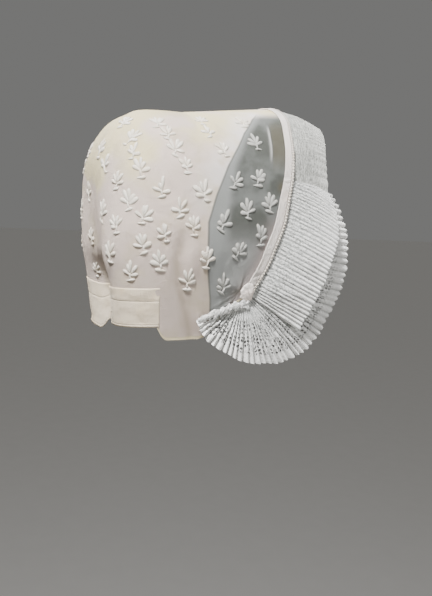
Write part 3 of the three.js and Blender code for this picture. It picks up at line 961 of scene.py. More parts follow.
@dataclass(frozen=True)
class NetLace:
    """Machine net lace: fine ribs with small holes, and larger pierced holes where they are asked for.

    Streaks and pitches are in millimetres of the lace. Borders are shares of the way from its seam
    to its free edge. The other spans are values of the noise or wave that they cut.
    """

    name: str
    thread: Colour = (0.30, 0.31, 0.295, 1)
    bright: Colour = (0.92, 0.915, 0.885, 1)
    # Painted shade in the grooves of the pleats and the hollows of the net.
    hole: Colour = (0.10, 0.10, 0.095, 1)
    # The pierced holes are coloured near black: painted shade seen through them.
    pierced_hole_shade: Colour = (0.012, 0.012, 0.012, 1)
    streak: Span = (1.1, 7.0)
    speck: float = 1.8
    rib_part: float = 0.45
    thread_cut: Span = (0.41, 0.62)
    net_cut: Span = (0.54, 0.66)
    mesh_hole: float = 0.25
    shade_strength: float = 0.5
    brightening: Span = (0.1, 1.0)
    seam_dimness: float = 0.12
    pierced: bool = False
    pierce_pitch: Span = (3.4, 2.3)
    row_shift_streak: Span = (3.4, 60.0)
    row_shift: float = 5.0
    dot_cut: Span = (0.12, 0.22)
    break_streak: Span = (3.2, 7.0)
    break_cut: Span = (0.465, 0.49)
    inner_border: Span = (0.24, 0.36)
    outer_border: Span = (0.84, 0.9)
    whole_border: Span = (0.84, 0.92)
    whole_brightness: float = 0.7
    pierced_clearness: float = 0.35
    relief_height: float = 0.5 * MM
    relief_strength: float = 0.7

    def holes(self, r: Recipe, share: Socket) -> Socket:
        """Rows of pierced holes, broken here and there, between a plain seam and a plain border.

        Args:
            r: The material under construction.
            share: The share of the way from the seam to the free edge.

        Returns:
            1 in a hole and 0 beside it.
        """
        along, across = r.cloth()
        shifted = r.plus(across, r.times(r.streaks(*self.row_shift_streak, 0.0), self.row_shift))
        columns, rows = r.wave(along, self.pierce_pitch[0]), r.wave(shifted, self.pierce_pitch[1])
        broken = r.fade(r.streaks(*self.break_streak), *self.break_cut)
        dots = r.times(r.fade(r.times(columns, rows), *self.dot_cut), broken)
        zone = r.times(r.fade(share, *self.inner_border), r.rest(r.fade(share, *self.outer_border)))
        return r.times(r.times(dots, zone), r.reading("openwork"))

    def make(self) -> bpy.types.Material:
        """Builds the material.

        Returns:
            The material.
        """
        r = Recipe(self.name, 0.85, 0.1)
        share = r.reading("across_share")
        ribs, specks = r.streaks(*self.streak), r.streaks(self.speck, self.speck, 1.0)
        grain = r.plus(r.times(ribs, self.rib_part), r.times(specks, 1 - self.rib_part))
        grain = r.plus(grain, r.times(r.fade(share, *self.brightening), self.seam_dimness))
        colour = r.tint(r.fade(grain, *self.thread_cut), self.thread, self.bright)
        alpha = r.rest(r.times(r.fade(specks, *self.net_cut), self.mesh_hole))
        if self.pierced:
            whole = r.times(r.fade(share, *self.whole_border), self.whole_brightness)
            holes = self.holes(r, share)
            # The pierced holes are coloured near black: painted shade seen through them.
            colour = r.tint(holes, r.tint(whole, colour, self.bright), self.pierced_hole_shade)
            alpha = r.times(alpha, r.rest(r.times(holes, self.pierced_clearness)))
        # Painted shade in the grooves of the pleats and the hollows of the net.
        colour = r.tint(r.times(r.reading("groove"), self.shade_strength), colour, self.hole)
        r.relief(r.plus(ribs, specks), self.relief_height, self.relief_strength)
        return r.finish(colour, alpha)


@dataclass(frozen=True)
class SatinStitch:
    """White embroidery cotton laid in close satin stitches."""

    light: Colour = (0.86, 0.80, 0.70, 1)
    warm: Colour = (0.81, 0.72, 0.59, 1)
    # Stitches on unlined cloth are greyed with painted shade of the dark inside seen through them.
    sheer: Colour = (0.40, 0.405, 0.385, 1)
    # Painted shade at the root of each petal, where it meets the cloth.
    foot: Colour = (0.27, 0.235, 0.19, 1)
    warm_patches: Patches = Patches(120.0, 2.0, 0.4, 0.7)
    sheer_strength: float = 0.88
    contact_shade_rise: Span = (0.05, 0.6)
    contact_shade_strength: float = 0.75
    stitch_slant: float = 0.6
    stitch_pitch: float = 0.45 * MM
    stitch_height: float = 0.12 * MM
    stitch_strength: float = 0.8

    def make(self) -> bpy.types.Material:
        """Builds the material.

        Returns:
            The material.
        """
        r = Recipe("satin_stitch", 0.62, 0.2)
        colour = r.tint(r.patches(self.warm_patches), self.light, self.warm)
        # Stitches on unlined cloth are greyed with painted shade of the dark inside seen through them.
        colour = r.tint(r.times(r.reading("over_sheer"), self.sheer_strength), colour, self.sheer)
        # Painted shade at the root of each petal, where it meets the cloth.
        low = r.rest(r.fade(r.reading("rise"), *self.contact_shade_rise))
        colour = r.tint(r.times(low, self.contact_shade_strength), colour, self.foot)
        parts = r.node("ShaderNodeSeparateXYZ", {"Vector": r.place()})
        slant = r.plus(parts.outputs["Z"], r.times(parts.outputs["Y"], self.stitch_slant))
        r.relief(r.wave(slant, self.stitch_pitch), self.stitch_height, self.stitch_strength)
        return r.finish(colour)


@dataclass(frozen=True)
class StudioPaper:
    """The pale paper of the studio floor."""

    colour: Colour = (0.88, 0.86, 0.83, 1)
    fleck: Colour = (0.84, 0.82, 0.79, 1)

    def make(self) -> bpy.types.Material:
        """Builds the material."""
        r = Recipe("studio_paper", 0.95)
        return r.finish(r.tint(r.mottle(6.0), self.fleck, self.colour))


@dataclass
class ClothGrid:
    """A grid of cloth laid over a surface, with its own millimetre coordinates and readings.

    Attributes:
        name: The piece's name.
        columns: How many cells it has along.
        rows: How many cells it has across.
        place: The point at a share along and a share across.
        measure: The cloth coordinates there, in millimetres.
        readings: Named values there.
    """

    name: str
    columns: int
    rows: int
    place: Place
    measure: Callable[[float, float], tuple[float, float]]
    readings: dict[str, Callable[[float, float], float]] = field(default_factory=dict)

    def build(self, offset: float = 0.0) -> bmesh.types.BMesh:
        """Lays the grid.

        Args:
            offset: How far its points then move outwards, in metres.

        Returns:
            The mesh, with faces outwards and doubles merged.
        """
        bm = bmesh.new()
        bmesh.ops.create_grid(bm, x_segments=self.columns, y_segments=self.rows, size=0.5)
        layers = {name: bm.verts.layers.float.new(name) for name in self.readings}
        uv = bm.loops.layers.uv.new("cloth")
        for face in bm.faces:
            for loop in face.loops:
                u, v = loop.vert.co.x + 0.5, loop.vert.co.y + 0.5
                loop[uv].uv = self.measure(u, v)
        for vert in bm.verts:
            u, v = vert.co.x + 0.5, vert.co.y + 0.5
            for name, layer in layers.items():
                vert[layer] = self.readings[name](u, v)
            vert.co = self.place(u, v)
        bmesh.ops.remove_doubles(bm, verts=bm.verts, dist=MERGE_DISTANCE)
        self.face_outwards(bm)
        if offset:
            bm.normal_update()
            moves = [vert.normal * offset for vert in bm.verts]
            for vert, move in zip(bm.verts, moves):
                vert.co += move
        return bm

    @staticmethod
    def face_outwards(bm: bmesh.types.BMesh) -> None:
        """Turns the faces of an open sheet away from the middle of the head.

        Args:
            bm: The mesh.
        """
        bmesh.ops.recalc_face_normals(bm, faces=bm.faces)
        outward = sum(f.normal.dot(f.calc_center_median() - HEAD_MIDDLE) * f.calc_area() for f in bm.faces)
        if outward < 0:
            bmesh.ops.reverse_faces(bm, faces=bm.faces)


def plain_measure(width: float, height: float) -> Callable[[float, float], tuple[float, float]]:
    """Cloth coordinates that run evenly over a piece of that size in millimetres."""
    return lambda u, v: (width * u, height * v)


def axes(right: Vector, up: Vector, out: Vector, place: Vector) -> Matrix:
    """The matrix that lays a shape at a place, along three axes."""
    return Matrix.Translation(place) @ Matrix((right, up, out)).transposed().to_4x4()


def piece_from(bm: bmesh.types.BMesh, name: str, material: bpy.types.Material) -> bpy.types.Object:
    """Makes a finished object of a mesh, riding on the cap.

    Args:
        bm: The mesh, which is freed.
        name: The object's name.
        material: Its material.

    Returns:
        The object.
    """
    mesh = bpy.data.meshes.new(name)
    bm.to_mesh(mesh)
    bm.free()
    mesh.materials.append(material)
    mesh.shade_smooth()
    made = bpy.data.objects.new(name, mesh)
    bpy.context.scene.collection.objects.link(made)
    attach(made, "root")
    log.info("%s: %d faces", name, len(mesh.polygons))
    return made


def thicken(piece: bpy.types.Object, wall: float, outward: float = 0.0) -> None:
    """Gives a sheet its thickness.

    Args:
        piece: The sheet.
        wall: Its thickness.
        outward: 1 puts the wall outside the sheet, -1 inside it, 0 on both sides.
    """
    solid = piece.modifiers.new("cloth thickness", "SOLIDIFY")
    solid.thickness = wall
    solid.offset = outward


@dataclass
class Crown:
    """The muslin shell of the crown, from the ridge to the hem."""

    form: CrownForm
    columns: int = 360
    rows: int = 120
    fixed_rows: float = 10.0
    hem_rows: float = 3.0
    waviness: float = 1.1 * MM
    fine_waves: float = 0.35
    calm_front: Span = (0.88, 0.95)
    calm_foot: Span = (0.7, 0.78)
    calm_ridge: Span = (0.0, 0.06)
    fold_height: float = 0.9 * MM
    fold_behind: float = 20.0
    fold_spread: float = 1.1
    fold_start: Span = (0.08, 0.12)
    fold_end: Span = (0.2, 0.25)
    fold_shine: float = 0.8
    shade_reach: float = 19.5
    shade_width: float = 2.5
    shade_start: Span = (0.06, 0.11)
    shade_end: Span = (0.2, 0.3)
    shade_depth: float = 0.85
    gather_swirl: float = 0.6
    gather_grain: float = 90.0
    strip_widths: Span = (4.0, 15.0)
    strip_drop: Span = (0.15, 0.5)
    strip_fade: Span = (-4.0, 6.0)
    crease_spread: float = 3.4 * MM
    crease_start: Span = (0.48, 0.66)
    crease_depth: float = 0.9
    valley_spread: float = 17 * MM
    valley_start: Span = (0.45, 0.8)
    valley_depth: float = 0.45
    blush_behind: float = 8.0
    blush_spread: float = 9.0
    blush_start: Span = (0.42, 0.6)
    cloth_width: float = 400.0
    cloth_height: float = 210.0
    flat: Span = (0.47, 0.2)
    surface: BVHTree | None = None

    def drop_at(self, around: float, share: float) -> float:
        """Drop share of a mesh point, by its way round and its share of the way down.

        Args:
            around: The way round, 0 at the centre back.
            share: The share along.

        Returns:
            The drop share.
        """
        row = share * (self.fixed_rows + self.hem_rows)
        if row <= self.fixed_rows:
            return self.form.value("drop", row)
        start = self.form.value("drop", self.fixed_rows)
        return start + (self.form.hem_drop(around) - start) * (row - self.fixed_rows) / self.hem_rows

    def ripple(self, around: float, drop: float) -> float:
        """How far the cloth stands off its mean shape; nothing where bands and lace are sewn to it.

        Args:
            around: The way round, 0 at the centre back.
            drop: The drop share.

        Returns:
            The distance in metres.
        """
        free = (1 - fade(abs(around), *self.calm_front)) * (1 - fade(drop, *self.calm_foot))
        free *= fade(drop, *self.calm_ridge)
        broad = noise.noise(Vector((around * 7.0, drop * 6.0, 1.5)))
        fine = noise.noise(Vector((around * 24.0, drop * 15.0, 4.5)))
        ridge = self.fold_height * self.fold_at(around, drop)
        return self.waviness * (broad + self.fine_waves * fine) * free - self.drawn_in(around, drop) + ridge

    def fold_at(self, around: float, drop: float) -> float:
        """How near a point lies to the small standing fold at the temple, 1 on its crest."""
        crest = bell((self.behind_edge(around, drop) / MM - self.fold_behind) / self.fold_spread)
        return crest * fade(drop, *self.fold_start) * (1 - fade(drop, *self.fold_end))

    def forward_at(self, around: float, drop: float) -> float:
        """Distance of a side point towards the face, less than 0 round the back."""
        ahead = (abs(around) - self.form.back_share) / (1 - self.form.back_share)
        return ahead * (self.form.reach_at(self.form.row_at(drop)) - self.form.rim_inset)

    def behind_edge(self, around: float, drop: float) -> float:
        """Distance of a side point behind the face edge."""
        return self.form.reach_at(self.form.row_at(drop)) - self.forward_at(around, drop)

    def on_side(self, around: float) -> bool:
        """Whether a point lies on the side, and not round the back."""
        return abs(around) > self.form.back_share

    def drawn_in(self, around: float, drop: float) -> float:
        """How deep the small folds are that run out from where the cloth is gathered to the band.

        Args:
            around: The way round, 0 at the centre back.
            drop: The drop share.

        Returns:
            The depth in metres.
        """
        depth = 0.0
        behind, grain = self.behind_edge(around, drop), self.gather_grain
        for spot in GATHERS:
            back, down = behind - spot.inset, (drop - spot.drop) * self.form.height
            away = math.hypot(back, down)
            if away < 3 * spot.spread and back > -spot.spread:
                swirl = self.gather_swirl * noise.noise(Vector((back * grain, down * grain, 0)))
                folds = abs(math.sin(math.atan2(down, back) * spot.folds / 2 + swirl))
                start = fade(back, -0.3 * spot.spread, 0.2 * spot.spread)
                depth += spot.depth * folds * bell(away / spot.spread) * start
        return depth

    def point(self, u: float, v: float) -> Vector:
        """A point of the shell at shares along and down.

        Args:
            u: The share along.
            v: The share across.

        Returns:
            The point.
        """
        around = 1 - 2 * u
        drop = self.drop_at(around, v)
        point = self.form.place(around, drop)
        away = Vector((point.x, point.y, 0.0))
        if away.length > 0.001:
            point += away.normalized() * self.ripple(around, drop)
        return point

    def measure(self, u: float, v: float) -> tuple[float, float]:
        """Cloth coordinates in millimetres."""
        return self.cloth_width * u, self.cloth_height * self.drop_at(1 - 2 * u, v)

    def ahead_of_lining(self, u: float, v: float) -> float:
        """Millimetres in front of the lining's edge, less than 0 behind it.

        Args:
            u: The share along.
            v: The share across.

        Returns:
            The distance.
        """
        around = 1 - 2 * u
        drop = self.drop_at(around, v)
        return (self.forward_at(around, drop) - straight(LINING_EDGE, drop) * self.form.face_reach) / MM

    def veil(self, u: float, v: float) -> float:
        """How far the dark inside shows through; least in the strip along the lining's edge.

        Args:
            u: The share along.
            v: The share across.

        Returns:
            The share.
        """
        drop = self.drop_at(1 - 2 * u, v)
        narrow, wide = self.strip_widths
        strip = narrow + (wide - narrow) * fade(drop, *self.strip_drop)
        start, end = self.strip_fade
        return fade(self.ahead_of_lining(u, v), strip + start, strip + end)

    def below_ridge(self, u: float, v: float) -> float:
        """Millimetres below the ridge."""
        return self.drop_at(1 - 2 * u, v) * self.form.height / MM

    def crease(self, u: float, v: float) -> float:
        """How deep in the side fold or the nape's valley a point lies, where brownish shade is painted on the
        cloth.

        Args:
            u: The share along.
            v: The share across.

        Returns:
            The share.
        """
        around = 1 - 2 * u
        drop = self.drop_at(around, v)
        centre = straight(SIDE_FOLD, drop) * self.form.face_reach
        point = None if abs(around) >= self.form.back_share else self.form.place(around, drop)
        forward = self.forward_at(around, drop) if point is None else -point.y
        fold = bell((forward - centre) / self.crease_spread) * fade(drop, *self.crease_start)
        if point is None:
            return self.crease_depth * fold
        valley = bell(point.x / self.valley_spread) * fade(drop, *self.valley_start)
        return max(self.crease_depth * fold, self.valley_depth * valley)

    def recess(self, u: float, v: float) -> float:
        """How deep a point lies in the shade of the fold beside the face band, and of the gathers there.

        Args:
            u: The share along.
            v: The share across.

        Returns:
            The share.
        """
        around = 1 - 2 * u
        drop = self.drop_at(around, v)
        if not self.on_side(around):
            return 0.0
        behind = self.behind_edge(around, drop) / MM
        fold = fade(self.shade_reach - behind, 0.0, self.shade_width)
        fold *= fade(drop, *self.shade_start) * (1 - fade(drop, *self.shade_end))
        dark = self.shade_depth * fold
        for spot in SHADOWS:
            near = bell((behind - spot.behind) / spot.wide) * bell((drop - spot.drop) / spot.tall)
            dark = max(dark, spot.strength * near)
        return min(dark, 1.0)

    def blush(self, u: float, v: float) -> float:
        """How far the rosy cloth of the face band's turning shows beside it, low on the side.

        Args:
            u: The share along.
            v: The share across.

        Returns:
            The share.
        """
        around = 1 - 2 * u
        drop = self.drop_at(around, v)
        if not self.on_side(around):
            return 0.0
        beside = bell((self.behind_edge(around, drop) / MM - self.blush_behind) / self.blush_spread)
        return beside * fade(drop, *self.blush_start)

    def fold_highlight(self, u: float, v: float) -> float:
        """How strongly the painted highlight shows on the crest of the standing fold."""
        around = 1 - 2 * u
        return self.fold_shine * self.fold_at(around, self.drop_at(around, v))

    def above_hem(self, u: float, v: float) -> float:
        """Millimetres above the lower edge."""
        around = 1 - 2 * u
        return (self.form.hem_drop(around) - self.drop_at(around, v)) * self.form.height / MM

    def build(self) -> bpy.types.Object:
        """Builds the shell.

        Returns:
            The piece.
        """
        readings = {
            "ahead_of_lining": self.ahead_of_lining,
            "above_hem": self.above_hem,
            "below_ridge": self.below_ridge,
            "veil": self.veil,
            "crease": self.crease,
            "recess": self.recess,
            "blush": self.blush,
            "fold_highlight": self.fold_highlight,
        }
        bm = ClothGrid("muslin_crown", self.columns, self.rows, self.point, self.measure, readings).build()
        self.surface = BVHTree.FromBMesh(bm)
        piece = piece_from(bm, "muslin_crown", SheerMuslin().make())
        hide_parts("crown")
        return piece


@dataclass
class Sprigs:
    """The raised satin-stitched sprigs, each a stem with a foot, two leaves and three petals."""

    surface: BVHTree
    form: CrownForm
    thickness: float = 1.2 * MM
    sink: float = 0.1 * MM
    swell: float = 0.38
    lumpiness: float = 0.3
    stray: float = 1.0
    widths: Span = (0.85, 1.15)
    sizes: Span = (0.86, 1.08)
    missing: float = 0.3
    sheer_start: Span = (-0.01, 0.06)
    sheer_drop: Span = (0.03, 0.06)
    seed: int = 11
    ring_segments: int = 10
    ring_count: int = 6
    lean: float = 20.0
    layers: tuple[str, str] = ("rise", "over_sheer")

    def places(self) -> list[tuple[float, float]]:
        """Where the sprigs stand, on both sides."""
        mirrored = [(-around, drop) for around, drop in SPRIG_PLACES]
        return list(SPRIG_PLACES) + mirrored + list(LEFT_BACK_SPRIGS)

    def over_sheer(self, around: float, drop: float) -> float:
        """1 where a sprig stands on the unlined cloth, and 0 where it stands on the lined one.

        Args:
            around: The way round, 0 at the centre back.
            drop: The drop share.

        Returns:
            The share.
        """
        form = self.form
        ahead = (abs(around) - form.back_share) / (1 - form.back_share)
        forward = ahead * form.reach_at(form.row_at(drop)) / form.face_reach
        return fade(forward - straight(LINING_EDGE, drop), *self.sheer_start) * fade(drop, *self.sheer_drop)

    def add_petal(
        self,
        bm: bmesh.types.BMesh,
        petal: Petal,
        size: float,
        chance: random.Random,
        lie: Matrix,
        sheer: float,
    ) -> None:
        """Adds one padded petal, fuller towards its tip, and lays it on the cloth.

        Args:
            bm: The mesh to add to.
            petal: The petal.
            size: The sprig's size, as a share of the usual one.
            chance: The source of its small unevenness.
            lie: From the sprig's own plane to the cloth: right, up, out and place.
            sheer: How far it stands on unlined cloth.
        """
        rise, over = (bm.verts.layers.float.get(name) for name in self.layers)
        uneven = Vector((chance.gauss(0, self.stray), chance.gauss(0, self.stray), 0))
        start, end = Vector((*petal.root, 0)) * size * MM, (Vector((*petal.tip, 0)) + uneven) * size * MM
        run, width = end - start, petal.width * size * MM * chance.uniform(*self.widths)
        round_cells, rings = self.ring_segments, self.ring_count
        made = bmesh.ops.create_uvsphere(bm, u_segments=round_cells, v_segments=rings, radius=1.0)
        aim = Matrix.Rotation(math.atan2(run.y, run.x), 4, "Z")
        for vert in made["verts"]:
            side, height, ahead = vert.co
            lump = noise.noise(Vector((ahead * 1.6, side * 1.4, width * 9000)))
            fuller = 1 + self.swell * ahead + self.lumpiness * lump
            local = aim @ Vector((ahead * run.length / 2, side * width / 2 * fuller, 0)) + (start + end) / 2
            near, normal, _, _ = self.surface.find_nearest(lie @ local)
            vert.co = near + normal * (max(height, -0.2) * self.thickness * min(fuller, 1.1) - self.sink)
            vert[rise], vert[over] = max(height, 0.0), sheer

    def frame_at(self, around: float, drop: float) -> Matrix:
        """The cloth's frame at a place: right, up and out, with the place itself.

        Args:
            around: The way round, 0 at the centre back.
            drop: The drop share.

        Returns:
            The frame.
        """
        here = self.form.place(around, drop)
        step = 0.01
        higher = self.form.place(around, max(drop - step, 0.002))
        near, out, _, _ = self.surface.find_nearest(here)
        up = (higher - here).normalized()
        up = (up - out * up.dot(out)).normalized()
        return axes(up.cross(out), up, out, near)

    def build(self) -> bpy.types.Object:
        """Builds all sprigs as one piece.

        Returns:
            The piece.
        """
        chance = random.Random(self.seed)
        bm = bmesh.new()
        gathered = bpy.data.meshes.new("one_sprig")
        for around, drop in self.places():
            size = chance.uniform(*self.sizes)
            turn = Matrix.Rotation(math.radians(chance.uniform(-self.lean, self.lean)), 4, "Z")
            flip = Matrix.Diagonal((chance.choice((-1, 1)), 1, 1, 1))
            lie = self.frame_at(around, drop) @ turn @ flip
            sprig = bmesh.new()
            for name in self.layers:
                sprig.verts.layers.float.new(name)
            left_out = chance.choice(UPPER_PETALS) if chance.random() < self.missing else None
            for petal in SPRIG_PETALS:
                if petal is left_out:
                    continue
                self.add_petal(sprig, petal, size, chance, lie, self.over_sheer(around, drop))
            bmesh.ops.recalc_face_normals(sprig, faces=sprig.faces)
            sprig.to_mesh(gathered)
            sprig.free()
            bm.from_mesh(gathered)
        bpy.data.meshes.remove(gathered)
        piece = piece_from(bm, "muslin_sprigs", SatinStitch().make())
        return piece


@dataclass
class CrownLining:
    """The plain lining behind the rear of the crown."""

    form: CrownForm
    inside: float = 2.4 * MM
    wall: float = 0.5 * MM
    columns: int = 150
    rows: int = 60
    low_front: float = 0.85
    low_back: float = 0.97
    hem_clear: float = 0.022
    front_share: float = 0.8
    row_bend: float = 1.5
    cloth_width: float = 360.0
    cloth_height: float = 180.0
    flat: Span = (0.36, 0.19)

    def point(self, u: float, v: float) -> Vector:
        """A point of the lining, before it moves inside, at shares along and down.

        Args:
            u: The share along.
            v: The share across.

        Returns:
            The point.
        """
        around = 1 - 2 * u
        share, form = abs(around), self.form
        forward_part = max(share - self.front_share, 0) / (1 - self.front_share)
        turn = 90 * (1 - min(share / self.front_share, 1.0))
        lowest = self.low_front
        if not forward_part:
            lowest = min(straight(BACK_HEM, turn) - self.hem_clear, self.low_back)
        drop = lowest * v**self.row_bend
        row = form.row_at(drop)
        if forward_part:
            point = form.side_point(row, forward_part * straight(LINING_EDGE, drop) * form.face_reach)
        else:
            point = form.round_point(row, turn)
        if around < 0:
            point.x = -point.x
        return point

    def build(self) -> bpy.types.Object:
        """Builds the lining.

        Returns:
            The piece.
        """
        size = self.cloth_width, self.cloth_height
        grid = ClothGrid("plain_lining", self.columns, self.rows, self.point, plain_measure(*size))
        piece = piece_from(grid.build(-self.inside), "plain_lining", PlainCotton("lining_cloth").make())
        thicken(piece, self.wall, -1)
        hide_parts("crown_lining")
        return piece


@dataclass
class FaceBand:
    """The plain tape over the crown's front edge, from one cheek corner to the other."""

    form: CrownForm
    width: float = 10.3 * MM
    top_width: float = 7.6 * MM
    overlap: float = 0.8 * MM
    lift: float = 0.4 * MM
    wall: float = 0.45 * MM
    lowest: float = 0.822
    drop_bend: float = 1.6
    widening: Span = (0.1, 0.5)
    seam_roll: float = 0.2
    front_roll: float = 0.3
    pucker_band: float = 0.33
    pucker_spread: float = 0.07
    end_drop: float = 0.797
    end_inset: float = 4.6 * MM
    end_size: tuple[float, float, float] = (6.6 * MM, 7.4 * MM, 1.9 * MM)
    end_folds: tuple[float, ...] = (-0.55, -0.1, 0.4)
    end_fold_width: float = 0.12
    end_fold_depth: float = 0.3
    end_lift: float = 0.5 * MM
    first_stitch: float = 0.42
    last_stitch: float = 0.995
    stitch_across: Span = (0.82, 1.0)
    stitch_line: float = 0.97
    stitch_step: float = 2.6 * MM
    stitch_size: tuple[float, float, float] = (1.2 * MM, 0.7 * MM, 0.6 * MM)
    columns: int = 420
    rows: int = 12
    flat: Span = (0.42, 0.0105)

    def drop_at(self, u: float) -> float:
        """Drop share at a share along the tape."""
        return self.lowest * abs(1 - 2 * u) ** self.drop_bend

    def pucker(self, u: float, v: float) -> float:
        """Height of the small folds across the tape, in millimetres; more where the crown is gathered.

        Args:
            u: The share along.
            v: The share across.

        Returns:
            The height.
        """
        drop = self.drop_at(u)
        gathered = 0.35 + 0.8 * bell((drop - self.pucker_band) / self.pucker_spread)
        gathered += 0.5 * fade(drop, 0.4, 0.75)
        fine = noise.noise(Vector((u * 190, v * 1.6, 2.0)))
        broad = noise.noise(Vector((u * 55, v * 2.5, 7.0)))
        return gathered * (0.5 * fine + 0.4 * broad) * (1 - 0.6 * fade(v, 0.7, 0.9))

    def point(self, u: float, v: float) -> Vector:
        """A point of the tape at a share along and a share towards the face.

        Args:
            u: The share along.
            v: The share across.

        Returns:
            The point.
        """
        side = 1 - 2 * u
        drop = self.drop_at(u)
        row = self.form.row_at(drop)
        width = self.top_width + (self.width - self.top_width) * fade(drop, *self.widening)
        at = self.form.reach_at(row) + self.overlap - width * (1 - v)
        point = self.form.side_point(row, at)
        out = self.form.outward(max(row, 0.02), at)
        roll = self.seam_roll * bell((v - 0.05) / 0.08)
        roll += self.front_roll * bell((v - 0.96) / 0.07) * fade(drop, 0.0, 0.1)
        point += out * (self.pucker(u, v) + roll) * MM
        if side < 0:
            point.x = -point.x
        return point

    def build(self) -> bpy.types.Object:
        """Builds the tape.

        Returns:
            The piece.
        """
        size = self.flat[0] / MM, self.width / MM
        grid = ClothGrid("face_tape", self.columns, self.rows, self.point, plain_measure(*size))
        cloth = PlainCotton(
            "tape_cloth",
            light=(0.92, 0.84, 0.775, 1),
            aged=(0.86, 0.745, 0.655, 1),
            stitch_lines=(8.0, 9.9),
            stitch_pitch=2.6,
            stitch_strength=0.75,
            stitch_reach=(0.35, 0.95),
            rumple=0.55 * MM,
        )
        finish = cloth.make()
        piece = piece_from(grid.build(self.lift), "face_tape", finish)
        thicken(piece, self.wall, 1)
        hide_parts("face_band")
        worked = [self.folded_end(side, finish) for side in Side] + [self.whipping()]
        return piece

    def folded_end(self, side: Side, finish: bpy.types.Material) -> bpy.types.Object:
        """Builds one end of the tape, folded under into a small soft pad.

        Args:
            side: The side of the head.
            finish: The tape's material.

        Returns:
            The piece.
        """
        row = self.form.row_at(self.end_drop)
        at = self.form.reach_at(row) - self.end_inset
        out = self.form.outward(row, at)
        here = self.form.side_point(row, at)
        up = (self.form.side_point(row - 0.1, at) - here).normalized()
        lie = axes(up.cross(out), up, out, here)
        bm = bmesh.new()
        bmesh.ops.create_uvsphere(bm, u_segments=36, v_segments=20, radius=1.0)
        wide, long, high = self.end_size
        for vert in bm.verts:
            lump = 1 + 0.3 * noise.noise(vert.co * 1.7) + 0.14 * noise.noise(vert.co * 4.5)
            slant, rise = vert.co.x * 0.8 + vert.co.y * 0.6, max(vert.co.z, 0.0)
            folds = sum(bell((slant - middle) / self.end_fold_width) for middle in self.end_folds)
            local = Vector((vert.co.x * wide, vert.co.y * long, rise * high)) * lump
            local.z += self.end_lift - self.end_fold_depth * folds * rise * high
            vert.co = lie @ local
            if side is Side.LEFT:
                vert.co.x = -vert.co.x
        bmesh.ops.recalc_face_normals(bm, faces=bm.faces)
        bm.loops.layers.uv.new("cloth")
        piece = piece_from(bm, f"tape_end_{side.word}", finish)
        return piece

    def whipping(self) -> bpy.types.Object:
        """Builds the row of small stitches over the tape's front edge, on both sides.

        Returns:
            The piece.
        """
        bm = bmesh.new()
        one = bpy.data.meshes.new("one_stitch")
        share, last = self.first_stitch, None
        while share < self.last_stitch:
            here = self.point(0.5 - share / 2, self.stitch_line)
            if last is None or (here - last).length >= self.stitch_step:
                last = here
                for sign in (-1, 1):
                    self.one_stitch(0.5 + sign * share / 2, one)
                    bm.from_mesh(one)
            share += 0.0005
        bpy.data.meshes.remove(one)
        piece = piece_from(bm, "tape_whipping", SatinStitch().make())
        return piece

    def one_stitch(self, u: float, one: bpy.types.Mesh) -> None:
        """Makes one stitch over the tape's front edge, in the mesh given.

        Args:
            u: The share along.
            one: The mesh that takes it.
        """
        inner, outer = (self.point(u, v) for v in self.stitch_across)
        run = self.point(u + 0.001, self.stitch_line) - self.point(u, self.stitch_line)
        out = (outer - inner).cross(run).normalized()
        if out.x * inner.x < 0:
            out.negate()
        across = (outer - inner).normalized()
        place = (inner + outer) / 2 + out * (self.lift + self.wall)
        lie = axes(across, out.cross(across), out, place) @ Matrix.Diagonal((*self.stitch_size, 1))
        bm = bmesh.new()
        bmesh.ops.create_uvsphere(bm, u_segments=8, v_segments=5, radius=1.0, matrix=lie)
        bmesh.ops.recalc_face_normals(bm, faces=bm.faces)
        for name, value in (("rise", 1.0), ("over_sheer", 0.0)):
            layer = bm.verts.layers.float.new(name)
            for vert in bm.verts:
                vert[layer] = value
        bm.to_mesh(one)
        bm.free()


@dataclass
class NapeBand:
    """One half of the plain band at the nape, which may hang lower away from the slit."""

    form: CrownForm
    side: Side
    hang: float = 0.0
    extra: float = 0.0
    height: float = 32 * MM
    start_turn: float = 24.5
    slit_half_turn: float = 0.9
    level_turn: float = 72.0
    lift: float = 0.4 * MM
    wall: float = 0.22 * MM
    cloth_width: float = 100.0
    columns: int = 90
    rows: int = 34
    flat: Span = (0.105, 0.034)

    def point(self, u: float, v: float) -> Vector:
        """A point of the band at a share towards the slit and a share down.

        Args:
            u: The share along.
            v: The share across.

        Returns:
            The point.
        """
        turn = self.start_turn + (90 - self.slit_half_turn - self.start_turn) * u
        slack = 1 - fade(turn, self.level_turn, 90)
        top = straight(NAPE_TOP, turn) + self.hang * slack / self.form.height
        drop = top + v * (self.height + self.extra * slack) / self.form.height
        lower = max(drop - 1, 0) * self.form.height
        point = self.form.round_point(self.form.row_at(drop), turn, lower)
        away = Vector((point.x, point.y, 0)).normalized()
        edge = 0.25 * bell((v - 0.97) / 0.03) + 0.1 * bell((u - 0.985) / 0.02)
        crease = 0.5 * noise.noise(Vector((u * 7, v * 4, 3.0 + self.side.value)))
        crease -= 0.25 * bell((v - 0.33) / 0.03)
        crease += 0.2 * noise.noise(Vector((u * 26, v * 9, 6.0))) - 0.5 * (1 - fade(u, 0.0, 0.12))
        point += away * (edge + crease) * MM
        if self.side is Side.LEFT:
            point.x = -point.x
        return point

    def build(self) -> bpy.types.Object:
        """Builds the half band.

        Returns:
            The piece.
        """
        name = f"nape_cloth_{self.side.word}"
        size = self.cloth_width, self.height / MM
        grid = ClothGrid(name, self.columns, self.rows, self.point, plain_measure(*size))
        cloth = PlainCotton(
            f"{name}_cotton",
            light=(0.89, 0.755, 0.57, 1),
            aged=(0.84, 0.68, 0.46, 1),
            stitch_lines=(10.6, 30.2),
            stitch_strength=0.3,
        )
        piece = piece_from(grid.build(self.lift), name, cloth.make())
        thicken(piece, self.wall, 1)
        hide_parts(f"nape_band_{self.side.word}")
        return piece


